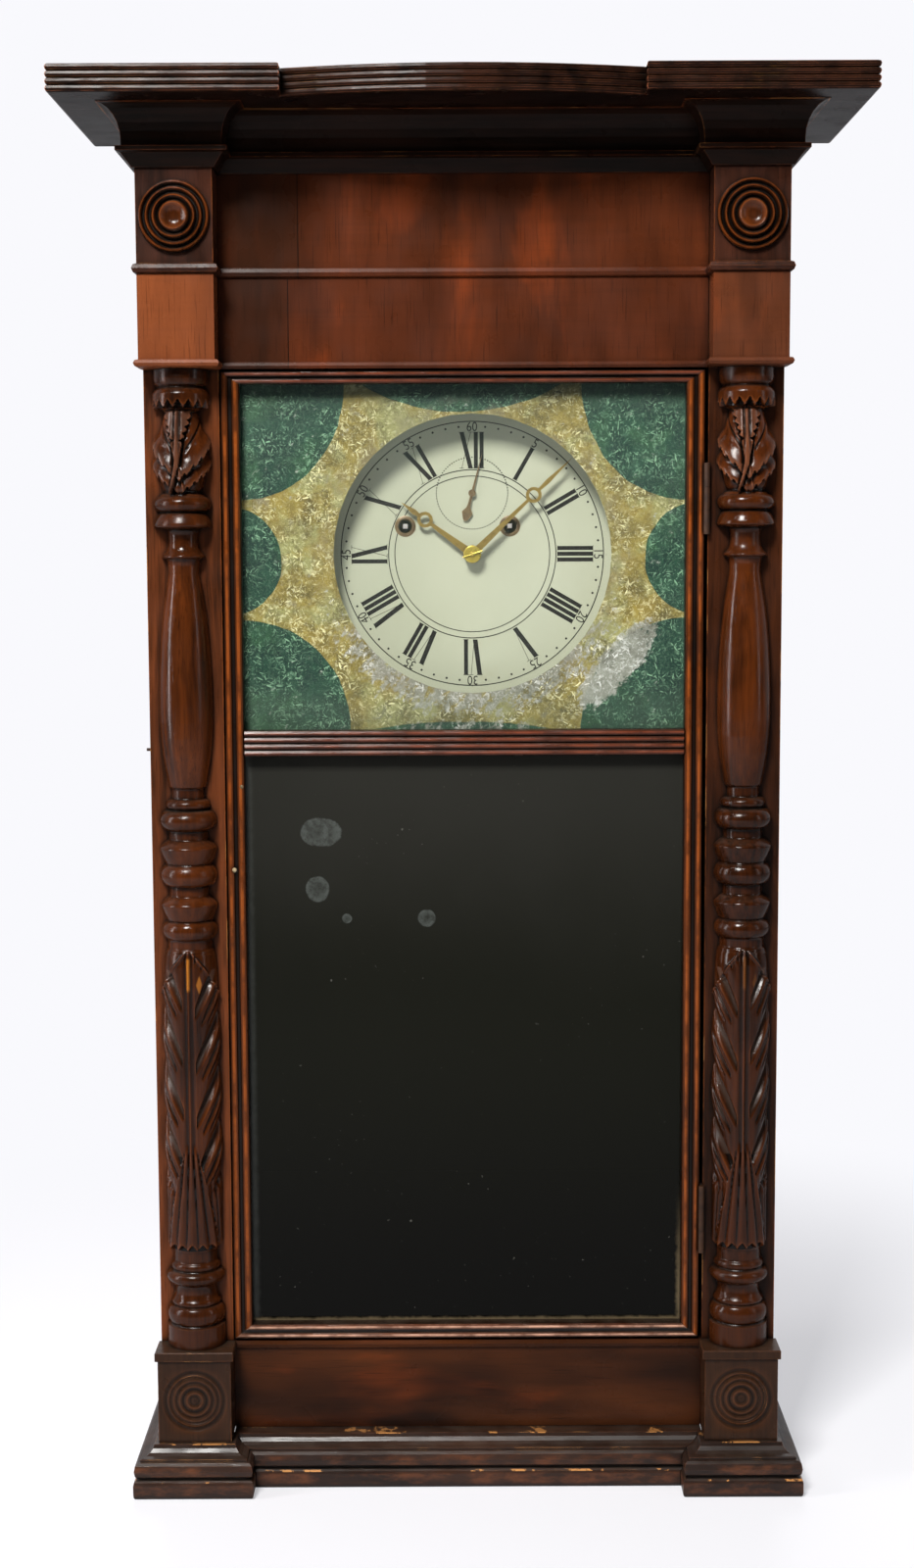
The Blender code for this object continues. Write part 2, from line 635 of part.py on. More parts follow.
def make_rosette(ending, side):
    """A turned disc with a raised rim, two rings and a dished eye."""
    r, h = ROSETTE_RADIUS, ROSETTE_HEIGHT
    shares = ((0.0, 0.45), (0.12, 0.4), (0.24, 0.6), (0.36, 0.9), (0.44, 0.5), (0.56, 1.0), (0.64, 0.5),
              (0.75, 0.95), (0.82, 0.45), (0.92, 0.8), (1.0, 0.3), (1.0, 0.0), (0.0, 0.0))
    profile = [(across * r, up * h) for across, up in shares]
    place = (side * COLUMN_X, BLOCK_Y - GAP, COVE_BOTTOM - ROSETTE_DROP)
    turned("rosette_" + ending, profile, place, "Y", RING_STEPS, MAHOGANY)


def carve_bullseye(block, ending, side):
    """Rings turned into the face of a base block."""
    r, d = BULLSEYE_RADIUS, BULLSEYE_DEPTH
    clear = 2 * BULLSEYE_DEPTH
    shares = ((1.0, 0.4), (0.9, 1.0), (0.8, 0.2), (0.68, 1.0), (0.56, 0.2), (0.42, 1.0), (0.28, 0.3),
              (0.14, 0.9), (0.0, 0.5))
    profile = [(0.0, clear), (r, clear)] + [(across * r, -down * d) for across, down in shares]
    place = (side * COLUMN_X, BLOCK_Y, FOOT_HEIGHT + BASE_BLOCK_HEIGHT / 2)
    cut(block, turned("bullseye_cutter_" + ending, profile, place, "Y", RING_STEPS, MAHOGANY))
    return smooth(block)


def make_columns():
    """Full turnings sawn in half and planted on the pilaster boards."""
    for ending, side in sides():
        place = (side * COLUMN_X, PILASTER_Y - COLUMN_BACK_FLAT, COLUMN_TOP)
        column = turned("column_" + ending, COLUMN_PROFILE, place, "Z", COLUMN_STEPS, MAHOGANY)
        bm = bmesh.new()
        bm.from_mesh(column.data)
        sawn = bmesh.ops.bisect_plane(bm, geom=bm.verts[:] + bm.edges[:] + bm.faces[:],
                                      plane_co=place, plane_no=(0, 1, 0), clear_outer=True)
        rim = [item for item in sawn["geom_cut"] if isinstance(item, bmesh.types.BMEdge)]
        bmesh.ops.edgenet_fill(bm, edges=rim)
        bmesh.ops.recalc_face_normals(bm, faces=bm.faces)
        bm.to_mesh(column.data)
        bm.free()
        smooth(column)


def cove_section():
    """Cornice moulding under the top board: ogee, fillet and cove, out from the wall."""
    low, high = COVE_BOTTOM, CORNICE_BOTTOM - GAP
    foot, fillet, top = 0.0100, 0.0030, 0.0225
    ogee = [(0.0016, low), (0.0032, low + 0.25 * foot), (0.0058, low + 0.6 * foot),
            (0.0082, low + 0.9 * foot)]
    flat = [(0.0113, low + foot), (0.0113, low + foot + fillet), (0.0076, low + foot + fillet + 0.0006)]
    start = low + foot + fillet + 0.004
    turns = [math.radians(i * 15) for i in range(7)]
    curve = [(top - (top - 0.0076) * math.cos(a), start + (high - start) * math.sin(a)) for a in turns]
    return [(0.0, low)] + ogee + flat + curve + [(0.0, high)]


def make_cornice():
    section = cove_section()
    up = (0, 0, 1)
    wall = FRIEZE_Y - GAP
    for ending, side in sides():
        inner, outer = side * (BLOCK_INNER_X - GAP), side * (HALF_WIDTH + GAP)
        front = BLOCK_Y - GAP
        stations = [((inner, wall - MITRE_GAP, 0), (-side, -1, 0), up),
                    ((inner, front, 0), (-side, -1, 0), up),
                    ((outer, front, 0), (side, -1, 0), up),
                    ((outer, CASE_BACK_Y, 0), (side, 0, 0), up)]
        smooth(sweep("cornice_cap_" + ending, section, stations, MAHOGANY))
    reach = BLOCK_INNER_X - GAP - MITRE_GAP
    stations = [((side * reach, wall, 0), (-side, -1, 0), up) for ending, side in sides()]
    smooth(sweep("cornice_cove", section, stations, MAHOGANY))
    make_cornice_board()


def make_cornice_board():
    """The top board: reeded on its front and sides, broken forward at the blocks and bowed between."""
    half, front, back = CORNICE_WIDTH / 2, CORNICE_FRONT_Y, CASE_BACK_Y
    step, inset = CORNICE_STEP_X, CORNICE_FRONT_Y + CORNICE_STEP_DEPTH
    radius = (step ** 2 + CORNICE_BOW_RISE ** 2) / (2 * CORNICE_BOW_RISE)
    centre_y = inset - CORNICE_BOW_RISE + radius
    spread = math.asin(step / radius)
    corners = [(-half, back, -1, 0), (-half, front, -1, -1), (-step, front, 1, -1), (-step, inset, 1, -1)]
    for i in range(1, BOW_SEGMENTS):
        turn = spread * (2 * i / BOW_SEGMENTS - 1)
        across, ahead = math.sin(turn), -math.cos(turn)
        corners.append((radius * across, centre_y + radius * ahead, across, ahead))
    corners += [(step, inset, -1, -1), (step, front, -1, -1), (half, front, 1, -1), (half, back, 1, 0)]
    height = CORNICE_THICKNESS / REEDS
    levels = []
    for reed in range(REEDS):
        low = CORNICE_BOTTOM + reed * height
        levels += half_round(low, low + height, REED_DEPTH, base=-REED_DEPTH)[0 if reed == 0 else 1:]
    smooth(stack("cornice_board", corners, levels, MAHOGANY), 50)


def foot_section():
    """(reach, z) of the base moulding: eased plinth, recess, torus, fillet and cove."""
    torus = half_round(0.0149, 0.0262, 0.0026, base=0.0138)
    plinth = [(0.0156, 0.0), (0.0167, 0.0012), (0.0170, 0.0032), (0.0170, 0.0104), (0.0165, 0.0124),
              (0.0152, 0.0134)]
    cove = [(0.0122, 0.0264), (0.0122, 0.0280), (0.0112, 0.0284), (0.0082, 0.0291), (0.0057, 0.0307),
            (0.0038, 0.0332), (0.0030, FOOT_HEIGHT)]
    return plinth + [(0.0128, 0.0136), (0.0128, 0.0147)] + torus + cove


def make_base():
    wall = BLOCK_Y + CENTRE_BASE_SETBACK
    for ending, side in sides():
        inner, outer, strip = side * BLOCK_INNER_X, side * HALF_WIDTH, side * (HALF_WIDTH - FOOT_STRIP_WIDTH)
        corners = [(inner, wall, 0, 0), (inner, wall - MITRE_GAP, -side, -1), (inner, BLOCK_Y, -side, -1),
                   (outer, BLOCK_Y, side, -1), (outer, CASE_BACK_Y, side, 0), (strip, CASE_BACK_Y, 0, 0),
                   (strip, wall, 0, 0)]
        smooth(stack("base_foot_" + ending, corners, foot_section(), MAHOGANY))
    section = foot_section()
    behind = wall - FRIEZE_BACK_Y
    section += [(0.0, FOOT_HEIGHT), (behind, FOOT_HEIGHT), (behind, 0.0), (0.0, 0.0)]
    reach = BLOCK_INNER_X - GAP
    rings = [[(side * (reach - max(u, 0.0)), wall - u, z) for u, z in section] for ending, side in sides()]
    smooth(loft("base_moulding_centre", rings, MAHOGANY))


def bead_across(start, end, points=4):
    """(across, depth) points of a bead sunk into the door's face."""
    middle, half = (start + end) / 2, (end - start) / 2
    turns = [math.pi * i / points for i in range(points + 1)]
    return [(middle - half * math.cos(a), BEAD_SINK * (1 - math.sin(a))) for a in turns]


def frame_section(width):
    """Door frame from its outer edge inwards: two beads, a quirk and the lip that holds the glass."""
    face = bead_across(0.0, 0.42 * width) + bead_across(0.56 * width, width)
    lip = width - FRAME_LIP
    return face + [(width, FRAME_LIP_DEPTH), (lip, FRAME_LIP_DEPTH), (lip, DOOR_THICKNESS),
                   (0.0, DOOR_THICKNESS)]


def door_piece(piece):
    """Puts a door piece's origin on the hinge axis."""
    return set_origin(piece, (HINGE_X, HINGE_Y, DOOR_BOTTOM))


def make_door_frame():
    depth = (0, 1, 0)
    low, high = DOOR_BOTTOM + MITRE_GAP, DOOR_TOP - MITRE_GAP
    rise, drop = BOTTOM_RAIL_WIDTH / STILE_WIDTH, TOP_RAIL_WIDTH / STILE_WIDTH
    for ending, x, way in (("left", DOOR_LEFT, 1), ("right", DOOR_RIGHT, -1)):
        stations = [((x, DOOR_FACE_Y, low), (way, 0, rise), depth),
                    ((x, DOOR_FACE_Y, high), (way, 0, -drop), depth)]
        stile = smooth(sweep("door_stile_" + ending, frame_section(STILE_WIDTH), stations, MAHOGANY))
        door_piece(stile)
    left, right = DOOR_LEFT + MITRE_GAP, DOOR_RIGHT - MITRE_GAP
    rails = (("bottom", DOOR_BOTTOM, 1, BOTTOM_RAIL_WIDTH), ("top", DOOR_TOP, -1, TOP_RAIL_WIDTH))
    for ending, z, way, width in rails:
        run = STILE_WIDTH / width
        stations = [((left, DOOR_FACE_Y, z), (run, 0, way), depth),
                    ((right, DOOR_FACE_Y, z), (-run, 0, way), depth)]
        door_piece(smooth(sweep("door_rail_" + ending, frame_section(width), stations, MAHOGANY)))
    reed = MIDDLE_RAIL_HEIGHT / REEDS
    face = bead_across(0.0, reed)
    for i in range(1, REEDS):
        face += bead_across(i * reed, (i + 1) * reed)[1:]
    top, lip = MIDDLE_RAIL_HEIGHT, MIDDLE_RAIL_HEIGHT - FRAME_LIP
    section = face + [(top, FRAME_LIP_DEPTH), (lip, FRAME_LIP_DEPTH), (lip, DOOR_THICKNESS),
                      (FRAME_LIP, DOOR_THICKNESS), (FRAME_LIP, FRAME_LIP_DEPTH), (0.0, FRAME_LIP_DEPTH)]
    ends = (DOOR_LEFT + STILE_WIDTH + GAP, DOOR_RIGHT - STILE_WIDTH - GAP)
    stations = [((x, DOOR_FACE_Y, MIDDLE_RAIL_BOTTOM), (0, 0, 1), depth) for x in ends]
    door_piece(smooth(sweep("door_rail_middle", section, stations, MAHOGANY)))


def light_outline(bottom, top):
    """Outline of a pane held behind the lips, from the sight edges of its light."""
    hold = FRAME_LIP - GLASS_PLAY
    left, right = DOOR_LEFT + STILE_WIDTH - hold, DOOR_RIGHT - STILE_WIDTH + hold
    return rectangle(left, right, bottom - hold, top + hold)


def make_panes():
    tablet = light_outline(MIDDLE_RAIL_TOP, DOOR_TOP - TOP_RAIL_WIDTH)
    mirror = light_outline(DOOR_BOTTOM + BOTTOM_RAIL_WIDTH, MIDDLE_RAIL_BOTTOM)
    front = DOOR_FACE_Y + FRAME_LIP_DEPTH + GAP
    door_piece(plate("tablet_glass", [tablet], front, front + GLASS_THICKNESS, GLASS))
    behind = front + GLASS_THICKNESS + GAP
    opening = circle((DIAL_X, DIAL_Z), DIAL_OPENING_RADIUS, 40)
    door_piece(plate("tablet_foil", [tablet, opening], behind, behind + FOIL_THICKNESS, FOIL))
    door_piece(plate("mirror_glass", [mirror], front, front + MIRROR_THICKNESS, MIRROR))
    behind = front + MIRROR_THICKNESS + GAP
    door_piece(plate("mirror_backboard", [mirror], behind, behind + BACKBOARD_THICKNESS, PINE))


def make_hinges():
    """Butt hinges: the case leaf has the outer knuckles and the pin, the door leaf the middle knuckle."""
    root_y = HINGE_Y + HINGE_PIN_RADIUS + 2 * GAP
    leaf_y = HINGE_Y + KNUCKLE_RADIUS + GAP
    third = HINGE_LENGTH / 3
    door_x = (HINGE_X - GAP / 2 - LEAF_THICKNESS, HINGE_X - GAP / 2)
    case_x = (HINGE_X + GAP / 2, HINGE_X + GAP / 2 + LEAF_THICKNESS)
    for ending, centre in (("lower", DOOR_BOTTOM + HINGE_INSET), ("upper", DOOR_TOP - HINGE_INSET)):
        low, high = centre - HINGE_LENGTH / 2, centre + HINGE_LENGTH / 2
        knuckle_low, knuckle_high = low + third + GAP, high - third - GAP
        end_y = leaf_y + HINGE_LEAF_DEPTH
        door_leaf = box("door_hinge_" + ending, (door_x[0], leaf_y, low), (door_x[1], end_y, high), BRASS)
        tab = box("door_tab_" + ending, (door_x[0], root_y, knuckle_low),
                  (door_x[1], leaf_y + GAP, knuckle_high), BRASS)
        bore = HINGE_PIN_RADIUS + RUNNING_GAP
        profile = [(bore, knuckle_high), (KNUCKLE_RADIUS, knuckle_high), (KNUCKLE_RADIUS, knuckle_low),
                   (bore, knuckle_low), (bore, knuckle_high)]
        knuckle = turned("door_knuckle_" + ending, profile, (HINGE_X, HINGE_Y, 0.0), "Z",
                         ROUND_SEGMENTS, BRASS)
        door_piece(fuse(door_leaf, tab, knuckle))
        case_leaf = box("case_hinge_" + ending, (case_x[0], leaf_y, low), (case_x[1], end_y, high), BRASS)
        tools = [cylinder("hinge_pin_" + ending, HINGE_PIN_RADIUS, (HINGE_X, HINGE_Y, low + GAP),
                          (HINGE_X, HINGE_Y, high - GAP), BRASS)]
        for part, bottom, top in (("low", low, low + third), ("high", high - third, high)):
            tools.append(box("case_tab_%s_%s" % (ending, part), (case_x[0], root_y, bottom),
                             (case_x[1], leaf_y + GAP, top), BRASS))
            tools.append(cylinder("case_knuckle_%s_%s" % (ending, part), KNUCKLE_RADIUS,
                                  (HINGE_X, HINGE_Y, bottom), (HINGE_X, HINGE_Y, top), BRASS))
        fuse(case_leaf, *tools)


def make_catch():
    """A button on the latch stile turns an arm behind the pilaster board; at rest the arm hangs clear."""
    x, z = DOOR_LEFT + CATCH_INSET, DOOR_BOTTOM + CATCH_HEIGHT
    bore = cylinder("catch_bore", CATCH_SHAFT_RADIUS + RUNNING_GAP, (x, DOOR_FACE_Y - 0.001, z),
                    (x, DOOR_BACK_Y + 0.001, z), MAHOGANY)
    smooth(cut(bpy.data.objects["door_stile_left"], bore))
    arm_y = DOOR_BACK_Y + GAP
    button_y = DOOR_FACE_Y - GAP
    shaft_end = button_y - arm_y - CATCH_ARM_THICKNESS / 2
    button, shaft = CATCH_BUTTON_RADIUS, CATCH_SHAFT_RADIUS
    profile = [(0.0, 0.0016), (0.7 * button, 0.0012), (button, 0.0005), (button, 0.0), (shaft, 0.0),
               (shaft, shaft_end), (0.0, shaft_end)]
    catch = turned("door_catch", profile, (x, button_y, z), "Y", ROUND_SEGMENTS, BRASS)
    half = CATCH_ARM_WIDTH / 2
    turns = [math.pi * i / 6 for i in range(7)]
    outline = [(x + half * math.cos(a), z + half * math.sin(a)) for a in turns]
    outline += [(x - half * 0.6, z - CATCH_ARM_LENGTH), (x + half * 0.6, z - CATCH_ARM_LENGTH)]
    arm = plate("catch_arm", [outline], arm_y, arm_y + CATCH_ARM_THICKNESS, BRASS)
    set_origin(fuse(catch, arm), (x, button_y, z))


def gear_outline(teeth, pitch_radius, centre, tooth_angle):
    """Outline of a wheel with straight-sided teeth, one of them pointing along tooth_angle in radians."""
    module = 2 * pitch_radius / teeth
    root, tip = pitch_radius - 1.15 * module, pitch_radius + 0.80 * module
    pitch = 2 * math.pi / teeth
    points = []
    for tooth in range(teeth):
        middle = tooth_angle + tooth * pitch
        for share, radius in ((-0.27, root), (-0.10, tip), (0.10, tip), (0.27, root)):
            turn = middle + share * pitch
            points.append((centre[0] + radius * math.cos(turn), centre[1] + radius * math.sin(turn)))
    return points


def escape_outline(centre):
    points = []
    for tooth in range(ESCAPE_TEETH):
        for share, depth in ((0.0, 0.0), (0.25, ESCAPE_TOOTH_DEPTH)):
            turn = 2 * math.pi * (tooth + share) / ESCAPE_TEETH
            radius = ESCAPE_RADIUS - depth
            points.append((centre[0] + radius * math.cos(turn), centre[1] + radius * math.sin(turn)))
    return points


def hand_outlines(centre, angle, ring_at, length, root, neck):
    """A hand with a pierced ring: tapered bar, ring and spear tip, turned clockwise from twelve."""
    ring = HAND_RING_RADIUS
    head = ring_at + ring
    turns = [math.radians(t) for t in range(30, 180, 30)]
    half = [(root, 0.0), (neck, ring_at - ring)]
    half += [(ring * math.sin(a), ring_at - ring * math.cos(a)) for a in turns]
    half += [(neck, head), (neck * 1.5, head + 0.25 * (length - head)), (0.0, length)]
    outline = half + [(-x, y) for x, y in reversed(half[:-1])]
    hole = circle((0.0, ring_at), HAND_RING_BORE, 12)
    return [[clockwise(point, centre, angle) for point in loop] for loop in (outline, hole)]


def clockwise(point, centre, angle):
    turn = math.radians(angle)
    x, z = point
    across, up = x * math.cos(turn) + z * math.sin(turn), z * math.cos(turn) - x * math.sin(turn)
    return (centre[0] + across, centre[1] + up)


def make_dial():
    left, right = DIAL_X - DIAL_WIDTH / 2, DIAL_X + DIAL_WIDTH / 2
    board = rectangle(left, right, DIAL_Z - DIAL_HEIGHT / 2, DIAL_Z + DIAL_HEIGHT / 2)
    holes = [circle((DIAL_X, DIAL_Z), CENTRE_HOLE_RADIUS),
             circle((DIAL_X, SECONDS_Z), SECONDS_HOLE_RADIUS, ROUND_SEGMENTS)]
    holes += [circle((x, WINDING_Z), WINDING_HOLE_RADIUS) for x in winding_places()]
    plate("dial", [board] + holes, DIAL_Y, DIAL_BACK_Y, DIAL_PAINT)


def winding_places():
    return (DIAL_X - WINDING_LEFT, DIAL_X + WINDING_RIGHT)


def make_hands():
    """Hands with the wheels they turn with: cannon pinion, hour wheel and escape wheel."""
    centre = (DIAL_X, DIAL_Z)
    seat = (DIAL_X, 0.0, DIAL_Z)
    module = 2 * MOTION_CENTRES / (CANNON_TEETH + MINUTE_WHEEL_TEETH)
    hour_module = 2 * MOTION_CENTRES / (HOUR_WHEEL_TEETH + MINUTE_PINION_TEETH)
    direction = math.radians(MOTION_STUD_ANGLE)
    wheel_y = FRONT_PLATE_Y - RUNNING_GAP - WHEEL_THICKNESS
    hour_wheel_y = DIAL_BACK_Y + (wheel_y - DIAL_BACK_Y) * 0.45

    front = DIAL_Y - MINUTE_HAND_LIFT - HAND_THICKNESS
    loops = hand_outlines(centre, MINUTE_ANGLE, MINUTE_RING_AT, MINUTE_LENGTH, 0.0026, 0.0011)
    hand = plate("minute_hand", loops, front, front + HAND_THICKNESS, BRASS)
    arbor = turned_along_y("minute_arbor", seat, (
        (front - 0.0028, 0.0016), (front - 0.0014, 0.0016), (front - 0.0014, WASHER_RADIUS),
        (front - 0.0004, WASHER_RADIUS), (front - 0.0004, MINUTE_PIPE_RADIUS),
        (wheel_y - WHEEL_THICKNESS / 4, MINUTE_PIPE_RADIUS),
        (wheel_y - WHEEL_THICKNESS / 4, CENTRE_ARBOR_RADIUS),
        (BACK_PLATE_END_Y, CENTRE_ARBOR_RADIUS)))
    outline = gear_outline(CANNON_TEETH, module * CANNON_TEETH / 2, centre, direction)
    cannon = plate("cannon_pinion", [outline], wheel_y - WHEEL_THICKNESS / 2, wheel_y + WHEEL_THICKNESS,
                   BRASS)
    set_origin(fuse(hand, arbor, cannon), (DIAL_X, front, DIAL_Z))

    front = DIAL_Y - HOUR_HAND_LIFT - HAND_THICKNESS
    loops = hand_outlines(centre, HOUR_ANGLE, HOUR_RING_AT, HOUR_LENGTH, 0.0030, 0.0013)
    hand = plate("hour_hand", loops, front, front + HAND_THICKNESS, BRASS)
    hub = turned_along_y("hour_pipe", seat, (
        (front - 0.0006, 0.0066), (front + HAND_THICKNESS + 0.0004, 0.0066),
        (front + HAND_THICKNESS + 0.0004, HOUR_PIPE_RADIUS),
        (hour_wheel_y + WHEEL_THICKNESS, HOUR_PIPE_RADIUS)))
    half_tooth = math.pi / HOUR_WHEEL_TEETH
    radius = hour_module * HOUR_WHEEL_TEETH / 2
    outline = gear_outline(HOUR_WHEEL_TEETH, radius, centre, direction + half_tooth)
    wheel = plate("hour_wheel", [outline], hour_wheel_y, hour_wheel_y + WHEEL_THICKNESS, BRASS)
    bore = cylinder("hour_bore", MINUTE_PIPE_RADIUS + RUNNING_GAP, (DIAL_X, front - 0.002, DIAL_Z),
                    (DIAL_X, hour_wheel_y + 0.004, DIAL_Z), BRASS, 24)
    set_origin(cut(fuse(hand, hub, wheel), bore), (DIAL_X, front, DIAL_Z))

    stud = (DIAL_X + MOTION_CENTRES * math.cos(direction), DIAL_Z + MOTION_CENTRES * math.sin(direction))
    hole = circle(stud, STUD_RADIUS + RUNNING_GAP, ROUND_SEGMENTS)
    half_tooth = math.pi / MINUTE_WHEEL_TEETH
    facing = direction + math.pi
    radius = module * MINUTE_WHEEL_TEETH / 2
    outline = gear_outline(MINUTE_WHEEL_TEETH, radius, stud, facing + half_tooth)
    wheel = plate("minute_wheel", [outline, hole], wheel_y, wheel_y + WHEEL_THICKNESS, BRASS)
    outline = gear_outline(MINUTE_PINION_TEETH, hour_module * MINUTE_PINION_TEETH / 2, stud, facing)
    pinion = plate("minute_pinion", [outline, hole], hour_wheel_y - WHEEL_THICKNESS / 2, wheel_y + 0.0003,
                   BRASS)
    set_origin(fuse(wheel, pinion), (stud[0], wheel_y, stud[1]))
    return stud


def turned_along_y(name, seat, steps, segments=ROUND_SEGMENTS):
    """A stepped round bar along Y from (y, radius) steps, the first of them nearest the viewer."""
    profile = [(0.0, -steps[0][0])] + [(radius, -y) for y, radius in steps] + [(0.0, -steps[-1][0])]
    return turned(name, profile, (seat[0], 0.0, seat[2]), "Y", segments, BRASS)


def make_seconds():
    centre = (DIAL_X, SECONDS_Z)
    front = DIAL_Y - SECONDS_HAND_LIFT - HAND_THICKNESS
    half = [(0.0, SECONDS_LENGTH), (0.0005, 0.5 * SECONDS_LENGTH), (0.0009, 0.0),
            (0.0010, -0.35 * SECONDS_TAIL), (0.0014, -0.52 * SECONDS_TAIL), (0.0040, -0.70 * SECONDS_TAIL),
            (0.0018, -0.96 * SECONDS_TAIL), (0.0, -SECONDS_TAIL)]
    outline = half + [(-x, z) for x, z in reversed(half[1:-1])]
    outline = [clockwise(point, centre, SECONDS_ANGLE) for point in outline]
    hand = plate("seconds_hand", [outline], front, front + HAND_THICKNESS, BRASS)
    wheel_y = BACK_PLATE_Y - 0.006
    arbor = turned_along_y("escape_arbor", (DIAL_X, 0.0, SECONDS_Z), (
        (front - 0.0008, SECONDS_BOSS_RADIUS), (front + 0.0004, SECONDS_BOSS_RADIUS),
        (front + 0.0004, ESCAPE_ARBOR_RADIUS),
        (BACK_PLATE_END_Y, ESCAPE_ARBOR_RADIUS)))
    wheel = plate("escape_wheel", [escape_outline(centre)], wheel_y, wheel_y + 0.0014, BRASS)
    set_origin(fuse(hand, arbor, wheel), (DIAL_X, front, SECONDS_Z))
    return wheel_y


def make_verge(wheel_y):
    """Anchor over the escape wheel, its arbor, and the crutch that loops round the pendulum rod."""
    reach = math.radians(PALLET_ANGLE)
    tip = ESCAPE_RADIUS + PALLET_CLEARANCE
    tip_x, tip_z = tip * math.sin(reach), tip * math.cos(reach) - VERGE_RISE
    half = [(0.0, 0.0042), (0.0032, 0.0032), (tip_x + 0.0040, tip_z + 0.0050),
            (tip_x + 0.0030, tip_z + 0.0005), (tip_x, tip_z), (tip_x + 0.0012, tip_z + 0.0040),
            (0.0030, -0.0028)]
    outline = half + [(-x, z) for x, z in reversed(half[1:])]
    outline = [(DIAL_X + x, VERGE_Z + z) for x, z in outline]
    anchor = plate("verge", [outline], wheel_y - 0.0008, wheel_y + 0.0022, STEEL)
    arbor = cylinder("verge_arbor", VERGE_ARBOR_RADIUS, (DIAL_X, FRONT_PLATE_Y, VERGE_Z),
                     (DIAL_X, BACK_PLATE_END_Y + 0.0040, VERGE_Z), STEEL)
    crutch_y = BACK_PLATE_END_Y + 0.0030
    low = VERGE_Z - CRUTCH_LENGTH
    crutch = tube("crutch", [(DIAL_X, crutch_y, VERGE_Z), (DIAL_X, crutch_y, low)], 0.0008, STEEL, 1)
    fork = box("crutch_fork", (DIAL_X - 0.0045, crutch_y - 0.0008, low - 0.0010),
               (DIAL_X + 0.0045, PENDULUM_Y + ROD_RADIUS + 0.0016, low + 0.0010), STEEL)
    play = ROD_RADIUS + GAP
    slot = box("crutch_slot", (DIAL_X - play, PENDULUM_Y - play, low - 0.004),
               (DIAL_X + play, PENDULUM_Y + play, low + 0.004), STEEL)
    set_origin(cut(fuse(anchor, arbor, crutch, fork), slot), (DIAL_X, PENDULUM_Y, VERGE_Z))


def make_pendulum():
    """The rod with its suspension spring and rating nut, and the lens bob that slides on it."""
    bob_z = VERGE_Z - PENDULUM_LENGTH
    r, h = BOB_RADIUS, BOB_THICKNESS / 2
    half = [(0.0, h), (0.45 * r, 0.86 * h), (0.8 * r, 0.52 * h), (r, 0.16 * h)]
    profile = half + [(radius, -height) for radius, height in reversed(half)]
    bob = turned("pendulum_bob", profile, (DIAL_X, PENDULUM_Y, bob_z), "Y", RING_STEPS, BRASS)
    bore = cylinder("bob_bore", ROD_RADIUS + GAP, (DIAL_X, PENDULUM_Y, bob_z - r - 0.001),
                    (DIAL_X, PENDULUM_Y, bob_z + r + 0.001), BRASS)
    pivot = (DIAL_X, PENDULUM_Y, VERGE_Z)
    set_origin(cut(bob, bore), pivot)
    nut_top = bob_z - r - GAP
    rod = cylinder("pendulum_rod", ROD_RADIUS, (DIAL_X, PENDULUM_Y, nut_top - 0.012),
                   (DIAL_X, PENDULUM_Y, VERGE_Z - 0.0060), STEEL)
    nut = cylinder("rating_nut", RATING_NUT_RADIUS, (DIAL_X, PENDULUM_Y, nut_top - 0.004),
                   (DIAL_X, PENDULUM_Y, nut_top), BRASS)
    thin = SPRING_HALF_THICKNESS
    spring = box("suspension_spring", (DIAL_X - thin, PENDULUM_Y - 0.0030, VERGE_Z - 0.0075),
                 (DIAL_X + thin, PENDULUM_Y + 0.0030, VERGE_Z + 0.0035), STEEL)
    set_origin(fuse(rod, nut, spring), pivot)


